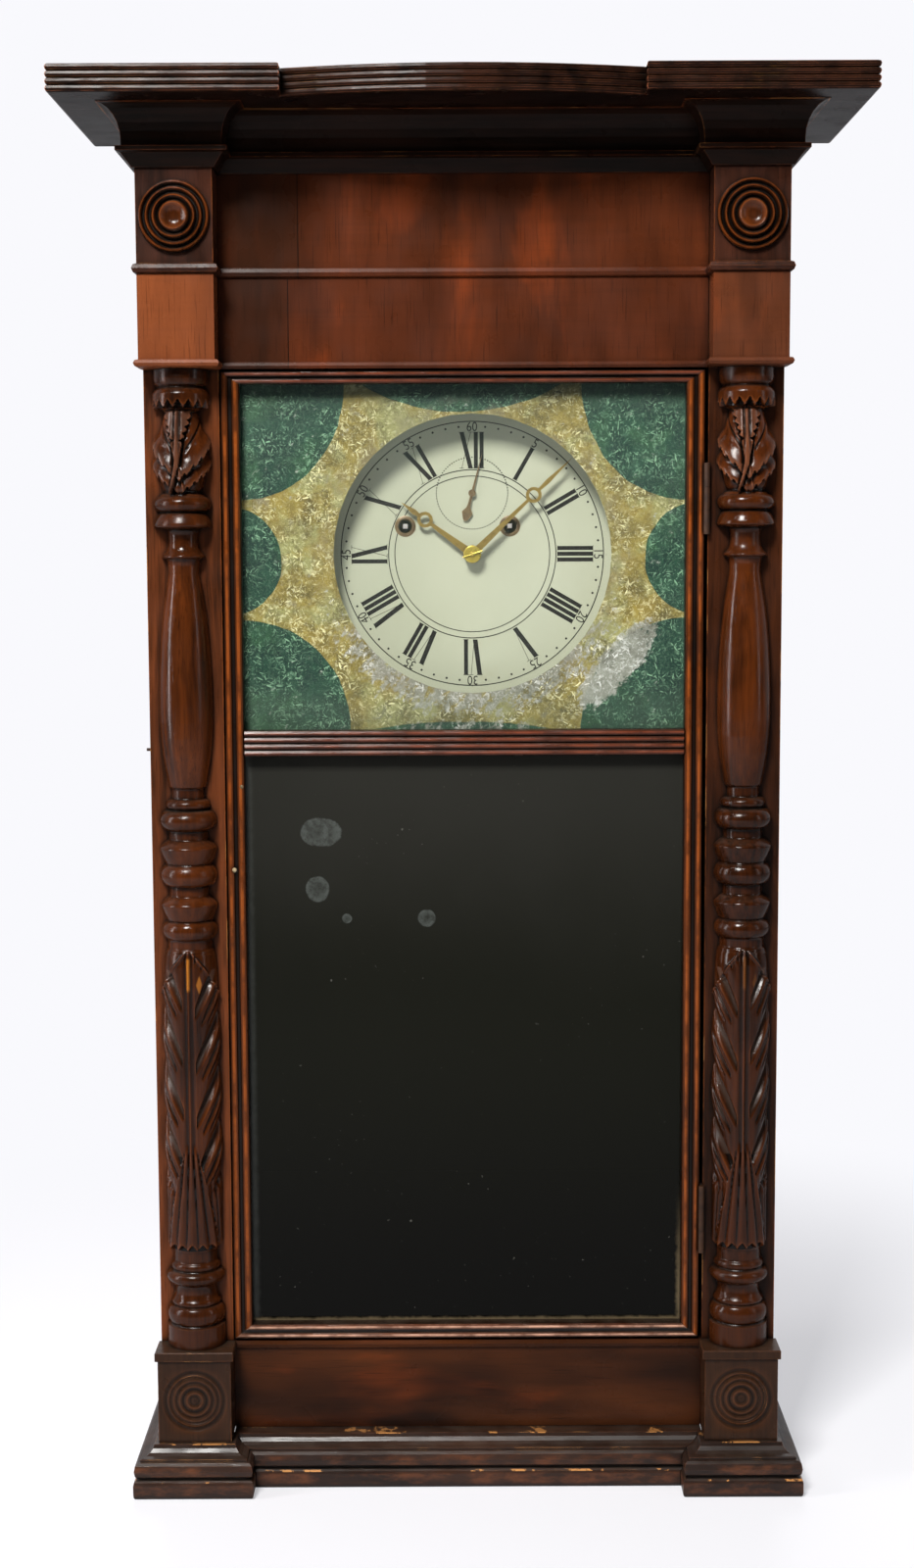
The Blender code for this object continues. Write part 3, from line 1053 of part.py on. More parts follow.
def make_movement(stud):
    """Two brass plates on four pillars, with the stud and the cock that carry the other moving parts."""
    left, right = DIAL_X - PLATE_LEFT, DIAL_X + PLATE_RIGHT
    bottom, top = DIAL_Z - PLATE_BELOW, DIAL_Z + PLATE_ABOVE
    hammer = (DIAL_X - HAMMER_LEFT, DIAL_Z + HAMMER_RISE)
    pivots = [((DIAL_X, DIAL_Z), CENTRE_ARBOR_RADIUS), ((DIAL_X, SECONDS_Z), ESCAPE_ARBOR_RADIUS),
              ((DIAL_X, VERGE_Z), VERGE_ARBOR_RADIUS), (hammer, HAMMER_ARBOR_RADIUS)]
    pivots += [((x, WINDING_Z), WINDING_ARBOR_RADIUS) for x in winding_places()]
    outlines = [rectangle(left, right, bottom, top)]
    outlines += [circle(centre, radius + RUNNING_GAP, ROUND_SEGMENTS) for centre, radius in pivots]
    frame = plate("movement_frame", outlines, FRONT_PLATE_Y, FRONT_PLATE_Y + PLATE_THICKNESS, BRASS)
    tools = [plate("back_plate", outlines, BACK_PLATE_Y, BACK_PLATE_END_Y, BRASS)]
    inset = PILLAR_INSET
    for i, x in enumerate((left + inset, right - inset)):
        for j, z in enumerate((bottom + inset, top - inset)):
            tools.append(cylinder("pillar_%d_%d" % (i, j), PILLAR_RADIUS, (x, DIAL_BACK_Y + GAP, z),
                                  (x, BACK_FRONT_Y - GAP, z), BRASS))
    tools.append(cylinder("minute_stud", STUD_RADIUS, (stud[0], DIAL_BACK_Y + GAP, stud[1]),
                          (stud[0], FRONT_PLATE_Y + 0.001, stud[1]), STEEL))
    cock_low, cock_high = VERGE_Z + 0.0010, VERGE_Z + 0.0110
    cock = box("suspension_cock", (DIAL_X - 0.0050, BACK_PLATE_END_Y - 0.0010, cock_low + 0.0035),
               (DIAL_X + 0.0050, PENDULUM_Y + 0.0060, cock_high), BRASS)
    slit = SPRING_HALF_THICKNESS + SPRING_SLOT_GAP
    tools.append(cock)
    for ending, side in sides():
        across = sorted((DIAL_X + side * slit, DIAL_X + side * 0.0044))
        tools.append(box("cock_jaw_" + ending, (across[0], PENDULUM_Y - 0.0040, cock_low),
                         (across[1], PENDULUM_Y + 0.0040, cock_low + 0.0045), BRASS))
    fuse(frame, *tools)


def make_drums():
    """Winding drums: great wheel, flanged barrel and the arbor with its winding square."""
    tip = DIAL_BACK_Y + WINDING_TIP_RECESS
    for (ending, side), x in zip(sides(), winding_places()):
        seat = (x, 0.0, WINDING_Z)
        start, end = CORD_Y - DRUM_LENGTH / 2, CORD_Y + DRUM_LENGTH / 2
        shoulder = FRONT_PLATE_Y - 0.0020
        flange = 0.0015
        drum = turned_along_y("drum_" + ending, seat, (
            (shoulder, WINDING_ARBOR_RADIUS), (start - 0.0010, WINDING_ARBOR_RADIUS),
            (start, DRUM_RADIUS), (end, DRUM_RADIUS), (end, DRUM_FLANGE_RADIUS),
            (end + flange, DRUM_FLANGE_RADIUS), (end + flange, WINDING_ARBOR_RADIUS),
            (BACK_PLATE_END_Y, WINDING_ARBOR_RADIUS)), HOLE_SEGMENTS)
        half = WINDING_SQUARE / 2
        square = box("winding_square_" + ending, (x - half, tip, WINDING_Z - half),
                     (x + half, shoulder + 0.0010, WINDING_Z + half), STEEL)
        outline = gear_outline(GREAT_WHEEL_TEETH, GREAT_WHEEL_RADIUS, (x, WINDING_Z), 0.0)
        wheel = plate("great_wheel_" + ending, [outline], start - 0.0022, start + 0.0005, BRASS)
        set_origin(fuse(drum, square, wheel), seat)


def cord_route(side, drum_x):
    """From the drum up to the pulley, over its top and down to the weight's eye."""
    drum = Vector((drum_x, WINDING_Z))
    pulley = Vector((side * PULLEY_X, PULLEY_Z))
    along = (pulley - drum).normalized()
    out = Vector((along.y, -along.x)) * -side
    lean = math.asin((DRUM_CORD_RADIUS - PULLEY_CORD_RADIUS) / (pulley - drum).length)
    out = (out * math.cos(lean) + along * math.sin(lean)).normalized()
    points = [drum + out * DRUM_CORD_RADIUS, pulley + out * PULLEY_CORD_RADIUS]
    start, end = math.atan2(out.y, out.x), (0.0 if side > 0 else math.pi)
    turns = 7
    for i in range(1, turns + 1):
        turn = start + (end - start) * i / turns
        points.append(pulley + Vector((math.cos(turn), math.sin(turn))) * PULLEY_CORD_RADIUS)
    points.append(Vector((side * WEIGHT_X, WEIGHT_EYE_Z + WEIGHT_EYE_RADIUS + WEIGHT_EYE_WIRE + GAP)))
    return [(x, CORD_Y, z) for x, z in points]


def make_weights():
    for (ending, side), drum_x in zip(sides(), winding_places()):
        x, half, deep = side * WEIGHT_X, WEIGHT_WIDTH / 2, WEIGHT_DEPTH / 2
        weight = box("weight_" + ending, (x - half, CORD_Y - deep, WEIGHT_BOTTOM),
                     (x + half, CORD_Y + deep, WEIGHT_TOP), IRON)
        bevel = weight.modifiers.new("rounded", "BEVEL")
        bevel.width = 0.006
        bevel.segments = 2
        turns = [2 * math.pi * i / 12 for i in range(12)]
        ring = [(x + WEIGHT_EYE_RADIUS * math.cos(a), CORD_Y, WEIGHT_EYE_Z + WEIGHT_EYE_RADIUS * math.sin(a))
                for a in turns]
        eye = tube("weight_eye_" + ending, ring, WEIGHT_EYE_WIRE, IRON, 1, closed=True)
        shank = cylinder("weight_shank_" + ending, 0.0022, (x, CORD_Y, WEIGHT_TOP - 0.002),
                         (x, CORD_Y, WEIGHT_EYE_Z - WEIGHT_EYE_RADIUS + 0.0004), IRON)
        set_origin(fuse(weight, eye, shank), (x, CORD_Y, WEIGHT_TOP))
        tube("weight_cord_" + ending, cord_route(side, drum_x), CORD_RADIUS, CORD, 1)


def make_pulleys():
    """A rail under the cornice with two pairs of ears, and a grooved wheel between each pair."""
    reach = INNER_X - GAP
    half_depth = PULLEY_BOARD_DEPTH / 2
    board = box("pulley_board", (-reach, CORD_Y - half_depth, PULLEY_BOARD_BOTTOM),
                (reach, CORD_Y + half_depth, PULLEY_BOARD_TOP), PINE)
    ears = []
    for ending, side in sides():
        x = side * PULLEY_X
        outline = rectangle(x - EAR_HALF_WIDTH, x + EAR_HALF_WIDTH, PULLEY_Z - EAR_HALF_WIDTH,
                            PULLEY_BOARD_BOTTOM + 0.002)
        hole = circle((x, PULLEY_Z), PULLEY_AXLE_RADIUS + RUNNING_GAP, ROUND_SEGMENTS)
        for number, way in enumerate((-1, 1)):
            near = CORD_Y + way * (PULLEY_THICKNESS / 2 + GAP)
            span = sorted((near, near + way * EAR_THICKNESS))
            ears.append(plate("ear_%s_%d" % (ending, number), [outline, hole], span[0], span[1], BRASS))
        half = PULLEY_THICKNESS / 2
        length = half + EAR_THICKNESS + 2 * GAP
        steps = ((CORD_Y - length, PULLEY_AXLE_RADIUS), (CORD_Y - half, PULLEY_AXLE_RADIUS),
                 (CORD_Y - half, PULLEY_RADIUS), (CORD_Y - half * 0.6, PULLEY_RADIUS),
                 (CORD_Y - half * 0.45, PULLEY_GROOVE_RADIUS), (CORD_Y + half * 0.45, PULLEY_GROOVE_RADIUS),
                 (CORD_Y + half * 0.6, PULLEY_RADIUS), (CORD_Y + half, PULLEY_RADIUS),
                 (CORD_Y + half, PULLEY_AXLE_RADIUS), (CORD_Y + length, PULLEY_AXLE_RADIUS))
        pulley = turned_along_y("pulley_" + ending, (x, 0.0, PULLEY_Z), steps, HOLE_SEGMENTS)
        set_origin(pulley, (x, CORD_Y, PULLEY_Z))
    fuse(board, *ears)


def make_strike():
    """A bell on a stud from the back board and the hammer that falls on its rim."""
    x, z = DIAL_X - BELL_LEFT, DIAL_Z - BELL_DROP
    r, wall = BELL_RADIUS, BELL_WALL
    mouth_y = BACK_FRONT_Y - 0.004
    crown_y = mouth_y - BELL_DEPTH
    turns = [math.radians(t) for t in (0, 30, 60, 80)]
    outer = [(r * math.sin(a), crown_y + BELL_DEPTH * (1 - math.cos(a))) for a in turns] + [(r, mouth_y)]
    inner = [(r - wall, mouth_y)]
    inner += [((r - wall) * math.sin(a), crown_y + wall + (BELL_DEPTH - wall) * (1 - math.cos(a)))
              for a in reversed(turns[1:])]
    stud = [(0.0025, crown_y + wall + 0.0008), (0.0025, BACK_FRONT_Y - GAP), (0.0, BACK_FRONT_Y - GAP)]
    profile = [(radius, -y) for radius, y in outer + inner + stud]
    turned("strike_bell", profile, (x, 0.0, z), "Y", RING_STEPS, BRASS)
    pivot = (DIAL_X - HAMMER_LEFT, DIAL_Z + HAMMER_RISE)
    head_y = mouth_y - BELL_DEPTH * 0.35
    head = (x, z + r + HAMMER_REST_GAP + HAMMER_HEAD_RADIUS)
    half = HAMMER_HEAD_LENGTH / 2
    hammer = cylinder("strike_hammer", HAMMER_HEAD_RADIUS, (head[0], head_y - half, head[1]),
                      (head[0], head_y + half, head[1]), IRON)
    arbor = cylinder("hammer_arbor", HAMMER_ARBOR_RADIUS, (pivot[0], FRONT_PLATE_Y, pivot[1]),
                     (pivot[0], head_y + 0.0020, pivot[1]), STEEL)
    wire = tube("hammer_wire", [(pivot[0], head_y, pivot[1]), (head[0], head_y, head[1])], 0.0010, STEEL, 1)
    set_origin(fuse(hammer, arbor, wire), (pivot[0], head_y, pivot[1]))


def main():
    make_carcase()
    make_front_boards()
    make_blocks()
    make_columns()
    make_cornice()
    make_base()
    make_door_frame()
    make_panes()
    make_hinges()
    make_catch()
    make_dial()
    stud = make_hands()
    make_verge(make_seconds())
    make_pendulum()
    make_movement(stud)
    make_drums()
    make_weights()
    make_pulleys()
    make_strike()


main()
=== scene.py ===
import math

import bmesh
import bpy
import numpy as np
from mathutils import Matrix, Vector


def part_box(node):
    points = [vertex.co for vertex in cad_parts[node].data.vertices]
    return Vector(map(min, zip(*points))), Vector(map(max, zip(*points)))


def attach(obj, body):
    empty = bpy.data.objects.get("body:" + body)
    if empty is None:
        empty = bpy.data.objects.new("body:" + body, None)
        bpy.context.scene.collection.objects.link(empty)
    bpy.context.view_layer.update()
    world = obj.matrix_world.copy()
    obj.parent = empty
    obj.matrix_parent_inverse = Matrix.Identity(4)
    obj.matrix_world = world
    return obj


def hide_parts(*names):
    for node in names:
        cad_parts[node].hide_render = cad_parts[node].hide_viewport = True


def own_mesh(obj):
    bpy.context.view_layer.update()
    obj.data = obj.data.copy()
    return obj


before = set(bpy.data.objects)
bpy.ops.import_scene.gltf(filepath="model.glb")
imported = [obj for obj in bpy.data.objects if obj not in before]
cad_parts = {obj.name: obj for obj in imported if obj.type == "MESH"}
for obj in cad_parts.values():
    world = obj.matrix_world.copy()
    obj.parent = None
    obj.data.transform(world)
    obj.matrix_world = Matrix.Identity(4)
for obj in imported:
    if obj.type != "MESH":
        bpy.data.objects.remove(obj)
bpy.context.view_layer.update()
mm = 0.001
print("frame loaded:", len(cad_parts), "nodes")

# Places that several pieces share, in metres
places = {
    "dialCentre": (0.0058, 0.6795),
    "dialFaceY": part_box("dial")[0].y,
    "secondsZ": 0.7233,
    "windingHoles": ((-0.0426, 0.6997), (0.033, 0.6997)),
    "pilasterY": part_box("pilaster_board_left")[0].y,
    "columnX": 0.199,
    "columnTop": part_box("column_left")[1].z,
    "pulleyZ": 0.9355,
}
bothSides = (("left", -1), ("right", 1))


def tone(red, green, blue):
    # a colour written as it looks on screen, from 0 to 255
    def straight(value):
        value = value / 255
        return value / 12.92 if value <= 0.04045 else ((value + 0.055) / 1.055) ** 2.4
    return (straight(red), straight(green), straight(blue), 1.0)


# Shader helpers

class Wire:
    # one output of a node, so that masks can be written as plain sums
    def __init__(self, socket):
        self.socket, self.tree = socket, socket.id_data

    def __add__(self, other):
        return calc("ADD", self, other)

    def __sub__(self, other):
        return calc("SUBTRACT", self, other)

    def __mul__(self, other):
        return calc("MULTIPLY", self, other)

    def __truediv__(self, other):
        return calc("DIVIDE", self, other)

    def __pow__(self, other):
        return calc("POWER", self, other)

    def __abs__(self):
        return calc("ABSOLUTE", self)


def setInputs(node, inputs):
    for key, value in inputs.items():
        if isinstance(value, Wire):
            node.id_data.links.new(value.socket, node.inputs[key])
        else:
            node.inputs[key].default_value = value


def addNode(tree, kind, inputs=None, **settings):
    made = tree.nodes.new("ShaderNode" + kind)
    for key, value in settings.items():
        setattr(made, key, value)
    setInputs(made, inputs or {})
    return made


def wireOf(tree, kind, inputs=None, output=0, **settings):
    return Wire(addNode(tree, kind, inputs, **settings).outputs[output])


def treeOf(values):
    return next(value.tree for value in values if isinstance(value, Wire))


def calc(operation, *values, kind="Math", output=0):
    return wireOf(treeOf(values), kind, dict(enumerate(values)), output, operation=operation)


def vectorCalc(operation, *values, output=0):
    return calc(operation, *values, kind="VectorMath", output=output)


def stretch(vector, factors):
    return vectorCalc("MULTIPLY", vector, factors)


def split(vector):
    return [Wire(socket) for socket in addNode(vector.tree, "SeparateXYZ", {0: vector}).outputs]


def channels(colour):
    return [Wire(socket) for socket in addNode(colour.tree, "SeparateColor", {0: colour}).outputs]


def brightest(*masks):
    found = masks[0]
    for mask in masks[1:]:
        found = calc("MAXIMUM", found, mask)
    return found


def blend(share, first, second):
    inputs = {0: share, 6: first, 7: second}
    return wireOf(treeOf(inputs.values()), "Mix", inputs, 2, data_type="RGBA")


def paint(colour, *layers):
    # lays each shade over the last one where its mask is bright
    for mask, shade in layers:
        colour = blend(mask, colour, shade)
    return colour


def spread(value, low, high, outLow=0.0, outHigh=1.0):
    return wireOf(value.tree, "MapRange", {"Value": value, "From Min": low, "From Max": high, "To Min": outLow,
                                           "To Max": outHigh}, interpolation_type="SMOOTHSTEP")


def noiseOf(vector, scale, detail=3.0, roughness=0.55, twist=0.0, output="Fac"):
    return wireOf(vector.tree, "TexNoise", {"Vector": vector, "Scale": scale, "Detail": detail,
                                            "Roughness": roughness, "Distortion": twist}, output)


def bumpOf(height, strength, distance):
    return wireOf(height.tree, "Bump", {"Strength": strength, "Distance": distance, "Height": height})


def oval(across, up, centreX, centreZ, reachX, reachZ):
    # below 1 inside the oval
    return abs((across - centreX) / reachX) ** 2.0 + abs((up - centreZ) / reachZ) ** 2.0


def turned(x, y, cosine, sine):
    # the same place measured along and across a slanting line
    return x * cosine + y * sine, y * cosine - x * sine


def newGroup(name, inputs, outputs):
    # every shared effect takes a vector and plain numbers and gives plain numbers
    tree = bpy.data.node_groups.new(name, "ShaderNodeTree")
    tree.interface.new_socket("Vector", in_out="INPUT", socket_type="NodeSocketVector")
    for label, value in inputs.items():
        tree.interface.new_socket(label, in_out="INPUT", socket_type="NodeSocketFloat").default_value = value
    for label in outputs:
        tree.interface.new_socket(label, in_out="OUTPUT", socket_type="NodeSocketFloat")
    given = tree.nodes.new("NodeGroupInput").outputs
    return tree, {label: Wire(given[label]) for label in ("Vector", *inputs)}, tree.nodes.new("NodeGroupOutput")


def useGroup(group, vector, numbers=None):
    made = addNode(vector.tree, "Group", node_tree=group)
    setInputs(made, {"Vector": vector, **(numbers or {})})
    return {socket.name: Wire(socket) for socket in made.outputs}


def startMaterial(name):
    material = bpy.data.materials.new(name)
    material.use_nodes = True
    return material, wireOf(material.node_tree, "TexCoord", output="Object")


def finish(material, colour, roughness, sheen=0.5, bump=None, more=None):
    inputs = {"Base Color": colour, "Roughness": roughness, "Specular IOR Level": sheen, **(more or {})}
    if bump:
        inputs["Normal"] = bumpOf(*bump)
    setInputs(material.node_tree.nodes["Principled BSDF"], inputs)
    return material


# Shared effects

def makeGrainGroup():
    # the vector comes with the grain along Z
    tree, given, out = newGroup("woodGrain", {"Fineness": 1.0}, ("Streak", "Pore", "Figure"))
    vector = given["Vector"]
    fine = stretch(vector, given["Fineness"])
    long = stretch(fine, (1.0, 1.0, 0.045))
    bent = vectorCalc("MULTIPLY_ADD", noiseOf(vector, 9.0, 2.0), (0.012, 0.012, 0.0), long)
    dash = stretch(fine, (1.0, 1.0, 0.03))
    wide = stretch(vector, (1.0, 1.0, 0.4))
    setInputs(out, {"Streak": spread(noiseOf(bent, 240.0, 4.0, 0.62), 0.32, 0.7),
                    "Pore": spread(noiseOf(dash, 1500.0, 1.0, 0.5), 0.6, 0.72),
                    "Figure": spread(noiseOf(wide, 13.0, 3.0, 0.6, 0.6), 0.34, 0.68)})
    return tree


def makeWearGroup():
    tree, given, out = newGroup("edgeWear", {"Radius": 0.0012}, ("Edge", "Chip", "CreviceShade", "GrooveShade"))
    vector = given["Vector"]
    rounded = wireOf(tree, "Bevel", {"Radius": given["Radius"]}, samples=6)
    facing = wireOf(tree, "NewGeometry", output="Normal")
    corner = spread(vectorCalc("DOT_PRODUCT", rounded, facing, output="Value"), 0.995, 0.8)
    openness = wireOf(tree, "AmbientOcclusion", {"Distance": 0.012}, "AO", samples=6)
    close = wireOf(tree, "AmbientOcclusion", {"Distance": 0.0035}, "AO", samples=4)
    exposed = corner * spread(openness, 0.42, 0.72)
    rare = spread(noiseOf(vector, 22.0, 2.0), 0.52, 0.66)
    setInputs(out, {"Edge": exposed * spread(noiseOf(vector, 60.0, 5.0, 0.7), 0.35, 0.59),
                    "Chip": spread(exposed * rare * noiseOf(vector, 170.0, 3.0, 0.6), 0.24, 0.34),
                    # occlusion masks: the finishes paint crevices and grooves darker with them, as painted shade
                    "CreviceShade": spread(openness, 0.8, 0.18),
                    "GrooveShade": spread(close, 0.93, 0.45)})
    return tree


def makeDustGroup():
    tree, given, out = newGroup("settledDust", {"Scale": 40.0}, ("Dust", "Smudge"))
    vector = given["Vector"]
    facingUp = split(wireOf(tree, "NewGeometry", output="Normal"))[2]
    patchy = spread(noiseOf(vector, 55.0, 4.0, 0.6), 0.3, 0.7)
    setInputs(out, {"Dust": spread(facingUp, 0.55, 0.95) * patchy,
                    "Smudge": spread(noiseOf(vector, given["Scale"], 4.0, 0.5), 0.35, 0.7)})
    return tree


def makeShardGroup():
    # short bright strokes, each lying its own way
    tree, given, out = newGroup("leafShards", {"Scale": 300.0, "Length": 0.42, "Width": 0.07}, ("Shard", "Level"))
    vector, scale = given["Vector"], given["Scale"]
    cells = addNode(tree, "TexVoronoi", {"Vector": vector, "Scale": scale}, voronoi_dimensions="2D").outputs
    x, y = split(stretch(vectorCalc("SUBTRACT", vector, Wire(cells["Position"])), scale))[:2]
    chance = channels(Wire(cells["Color"]))
    turn = chance[0] * math.pi
    along, across = turned(x, y, calc("COSINE", turn), calc("SINE", turn))
    stroke = spread(abs(along / given["Length"]) ** 2.0 + abs(across / given["Width"]) ** 2.0, 1.0, 0.45)
    setInputs(out, {"Shard": stroke * spread(chance[1], 0.25, 0.85), "Level": chance[2]})
    return tree


grainGroup = makeGrainGroup()
wearGroup = makeWearGroup()
dustGroup = makeDustGroup()
shardGroup = makeShardGroup()
print("shared effects ready")

# Finishes

grainTurns = {"up": (0.0, 0.0, 0.0), "across": (0.0, math.pi / 2, 0.0)}
mahogany = {
    "run": "up", "dark": tone(40, 20, 10), "middle": tone(104, 52, 26), "lit": tone(168, 88, 34),
    "bare": tone(206, 142, 78), "hollow": tone(12, 6, 3), "wear": 0.75, "chips": 0.9, "roughness": 0.27,
    "sheen": 0.14, "grooveShade": 0.75, "crest": None, "carving": False, "crests": 0.75, "rubbed": (), "worn": (),
}
# the dust tone also stands as a painted sheen in the carved cuts
markTones = {"dust": tone(124, 96, 82), "bare": tone(198, 122, 40), "settled": tone(120, 105, 92)}


def turnGrain(place, run):
    return wireOf(place.tree, "Mapping", {"Vector": place, "Rotation": grainTurns[run]})


def between(place, low, high, soft):
    # bright between two heights
    level = split(place)[2]
    return spread(level, low, low + soft) * spread(level, high, high - soft)


def makeMahogany(name, changes):
    choice = {**mahogany, **changes}
    lit, hollow, bare = choice["lit"], choice["hollow"], choice["bare"]
    material, place = startMaterial(name)
    grain = useGroup(grainGroup, turnGrain(place, choice["run"]))
    wear = useGroup(wearGroup, place)
    dust = useGroup(dustGroup, place)
    colour = blend(grain["Figure"] * 0.62 + grain["Streak"] * 0.38, choice["dark"], choice["middle"])
    colour = paint(colour, (grain["Pore"] * 0.45, hollow), (wear["Edge"] * choice["wear"], lit),
                   (wear["Chip"] * choice["chips"], bare))
    if choice["crest"]:
        # painted highlight along the front of the beads, with rubbed wear, and painted shade between them
        front, back = choice["crest"]
        raised = spread(split(place)[1], back, front)
        patchy = spread(noiseOf(place, 38.0, 4.0, 0.65), 0.36, 0.62, 0.15, 1.0)
        colour = paint(colour, (spread(raised, 0.92, 1.0) * patchy, lit),
                       (spread(raised, 0.7, 0.0, 0.0, 0.9), hollow))
    for low, high in choice["rubbed"]:
        # polish gone brown in patches along a moulding
        patches = spread(noiseOf(stretch(place, (0.4, 0.4, 1.0)), 80.0, 5.0, 0.7), 0.42, 0.72)
        colour = paint(colour, (between(place, low, high, 0.003) * patches * 0.8, lit))
    for low, high, often in choice["worn"]:
        # bare wood where an edge has been knocked
        runs = noiseOf(place, 210.0, 4.0, 0.7) * 0.35 + noiseOf(place, 34.0, 3.0, 0.6)
        knocked = between(place, low, high, 0.0004) * spread(runs, 0.86 - often, 0.9 - often)
        colour = paint(colour, (knocked, bare))
    if choice["carving"]:
        # lighter crests (rubbed polish and painted highlight), painted shade in the hollows, and what the column's
        # own points say of dust with a painted sheen, bare wood and darkening, which on the right baluster is
        # painted shade
        cut = wireOf(place.tree, "Attribute", None, "Fac", attribute_name="carving")
        dustAndSheen, scraped, darkened = channels(wireOf(place.tree, "Attribute", None, "Color", attribute_name="marks"))
        crests = spread(cut, 0.6, 1.0) * (grain["Figure"] * 0.5 + 0.2)
        colour = paint(colour, (crests * choice["crests"], lit), (spread(cut, 0.47, 0.16, 0.0, 0.97), hollow),
                       (dustAndSheen * 0.5, markTones["dust"]), (scraped, markTones["bare"]), (darkened * 0.62, hollow))
    # painted shade in the grooves and crevices, from the occlusion masks, then settled dust on top
    colour = paint(colour, (wear["GrooveShade"] * choice["grooveShade"], hollow), (wear["CreviceShade"] * 0.85, hollow),
                   (dust["Dust"] * 0.1, markTones["settled"]))
    roughness = dust["Smudge"] * 0.14 + choice["roughness"] + wear["CreviceShade"] * 0.25
    bump = (grain["Pore"] * -0.6 + grain["Streak"] * 0.35, 0.22, 0.0003)
    return finish(material, colour, roughness, choice["sheen"], bump)


def makeVeneer(name, dark, bright, joinX=None, run="up"):
    # figured veneer, in leaves of different depth
    material, place = startMaterial(name)
    grown = turnGrain(place, run)
    grain = useGroup(grainGroup, grown, {"Fineness": 0.8})
    wear = useGroup(wearGroup, place)
    dust = useGroup(dustGroup, place, {"Scale": 28.0})
    long = stretch(grown, (1.0, 1.0, 0.3))
    bands = spread(noiseOf(long, 15.0, 3.0, 0.55, 0.8), 0.34, 0.7)
    clouds = spread(noiseOf(long, 9.0, 3.0, 0.6, 0.35), 0.4, 0.62)
    glow = bands * 0.42 + clouds * 0.58
    embers = spread(noiseOf(long, 21.0, 4.0, 0.6, 0.3), 0.54, 0.7) * glow
    emberTone = tuple(0.45 * a + 0.55 * b for a, b in zip(bright, tone(170, 72, 22)))
    brushed = noiseOf(stretch(place, (0.05, 1.0, 1.0)), 300.0, 2.0)
    colour = paint(blend(glow, dark, bright), (embers * 0.5, emberTone),
                   (spread(brushed, 0.42, 0.75, 0.0, 0.12), dark), (grain["Streak"] * 0.16, dark),
                   (grain["Pore"] * 0.35, tone(18, 10, 6)))
    if joinX is not None:
        # the join, and the darker leaf on its left
        across = split(place)[0]
        leaf = spread(across, joinX - 0.0003, joinX + 0.0003, 0.3, 0.0)
        join = spread(abs(across - joinX), 0.0006, 0.0001)
        colour = paint(colour, (join, tone(20, 11, 7)), (leaf, tone(52, 30, 18)))
    # edge wear, and painted shade in the crevices
    colour = paint(colour, (wear["Edge"] * 0.5, tone(116, 56, 24)), (wear["CreviceShade"] * 0.8, tone(12, 6, 5)))
    bump = (grain["Pore"] * -0.5 + dust["Smudge"] * 0.5, 0.18, 0.0003)
    return finish(material, colour, dust["Smudge"] * 0.16 + 0.26, 0.12, bump)


def makePine(name):
    material, place = startMaterial(name)
    grain = useGroup(grainGroup, place, {"Fineness": 0.45})
    wear = useGroup(wearGroup, place)
    dust = useGroup(dustGroup, place, {"Scale": 12.0})
    # smudges and edge wear, and painted shade in the crevices
    colour = paint(blend(grain["Streak"], tone(150, 106, 62), tone(112, 74, 40)),
                   (dust["Smudge"] * 0.55, tone(84, 58, 36)), (wear["Edge"] * 0.5, tone(178, 136, 88)),
                   (wear["CreviceShade"] * 0.7, tone(30, 20, 13)))
    return finish(material, colour, 0.72, 0.25, (grain["Streak"], 0.5, 0.0006))


def makeMetal(name, bright, dull, creviceTone, roughness, metallic=1.0, worn=None):
    material, place = startMaterial(name)
    wear = useGroup(wearGroup, place, {"Radius": 0.0006})
    smudge = useGroup(dustGroup, place, {"Scale": 140.0})["Smudge"]
    colour = blend(smudge, bright, dull)
    if worn:
        colour = paint(colour, (wear["Edge"] * 0.7, worn))
    # darker in the crevices, by the occlusion mask
    colour = paint(colour, (wear["CreviceShade"] * 0.7, creviceTone))
    return finish(material, colour, smudge * 0.18 + roughness, bump=(smudge, 0.15, 0.0002),
                  more={"Metallic": metallic})


def makeCastIron(name):
    material, place = startMaterial(name)
    wear = useGroup(wearGroup, place, {"Radius": 0.002})
    smudge = useGroup(dustGroup, place, {"Scale": 30.0})["Smudge"]
    colour = paint(blend(smudge * 0.5, tone(52, 50, 49), tone(88, 56, 38)),
                   (wear["Edge"] * 0.6, tone(110, 106, 102)))
    pitted = noiseOf(place, 420.0, 4.0, 0.7)
    return finish(material, colour, 0.62, bump=(pitted, 0.6, 0.0006), more={"Metallic": 0.6})


def makeDialPaint(name):
    material, place = startMaterial(name)
    smudge = useGroup(dustGroup, place, {"Scale": 9.0})["Smudge"]
    wear = useGroup(wearGroup, place, {"Radius": 0.0008})
    stains = spread(noiseOf(place, 34.0, 4.0, 0.6), 0.62, 0.8)
    specks = spread(noiseOf(place, 520.0, 1.0), 0.76, 0.82)
    colour = paint(blend(smudge * 0.5, tone(196, 201, 176), tone(182, 187, 158)),
                   (stains * 0.35, tone(176, 170, 128)), (specks * 0.35, tone(120, 112, 88)),
                   (wear["Edge"] * 0.5, tone(140, 130, 100)))
    cracks = wireOf(place.tree, "TexVoronoi", {"Vector": place, "Scale": 190.0}, feature="DISTANCE_TO_EDGE")
    return finish(material, colour, smudge * 0.12 + 0.42, 0.35, (spread(cracks, 0.0, 0.06), 0.05, 0.0002))


def makePaneGlass(name):
    # the light has to reach the dial, so the pane is a thin clear film with a faint grey-green cast
    material, place = startMaterial(name)
    smudge = useGroup(dustGroup, place, {"Scale": 14.0})["Smudge"]
    # more opaque towards the top, a painted sheen
    topSheen = spread(split(place)[2], 0.6, 0.8, 0.012, 0.028)
    return finish(material, tone(150, 170, 160), 0.04, more={"Alpha": smudge * 0.02 + topSheen})


# Foil tablet: a gold star with hollow sides, green between its points

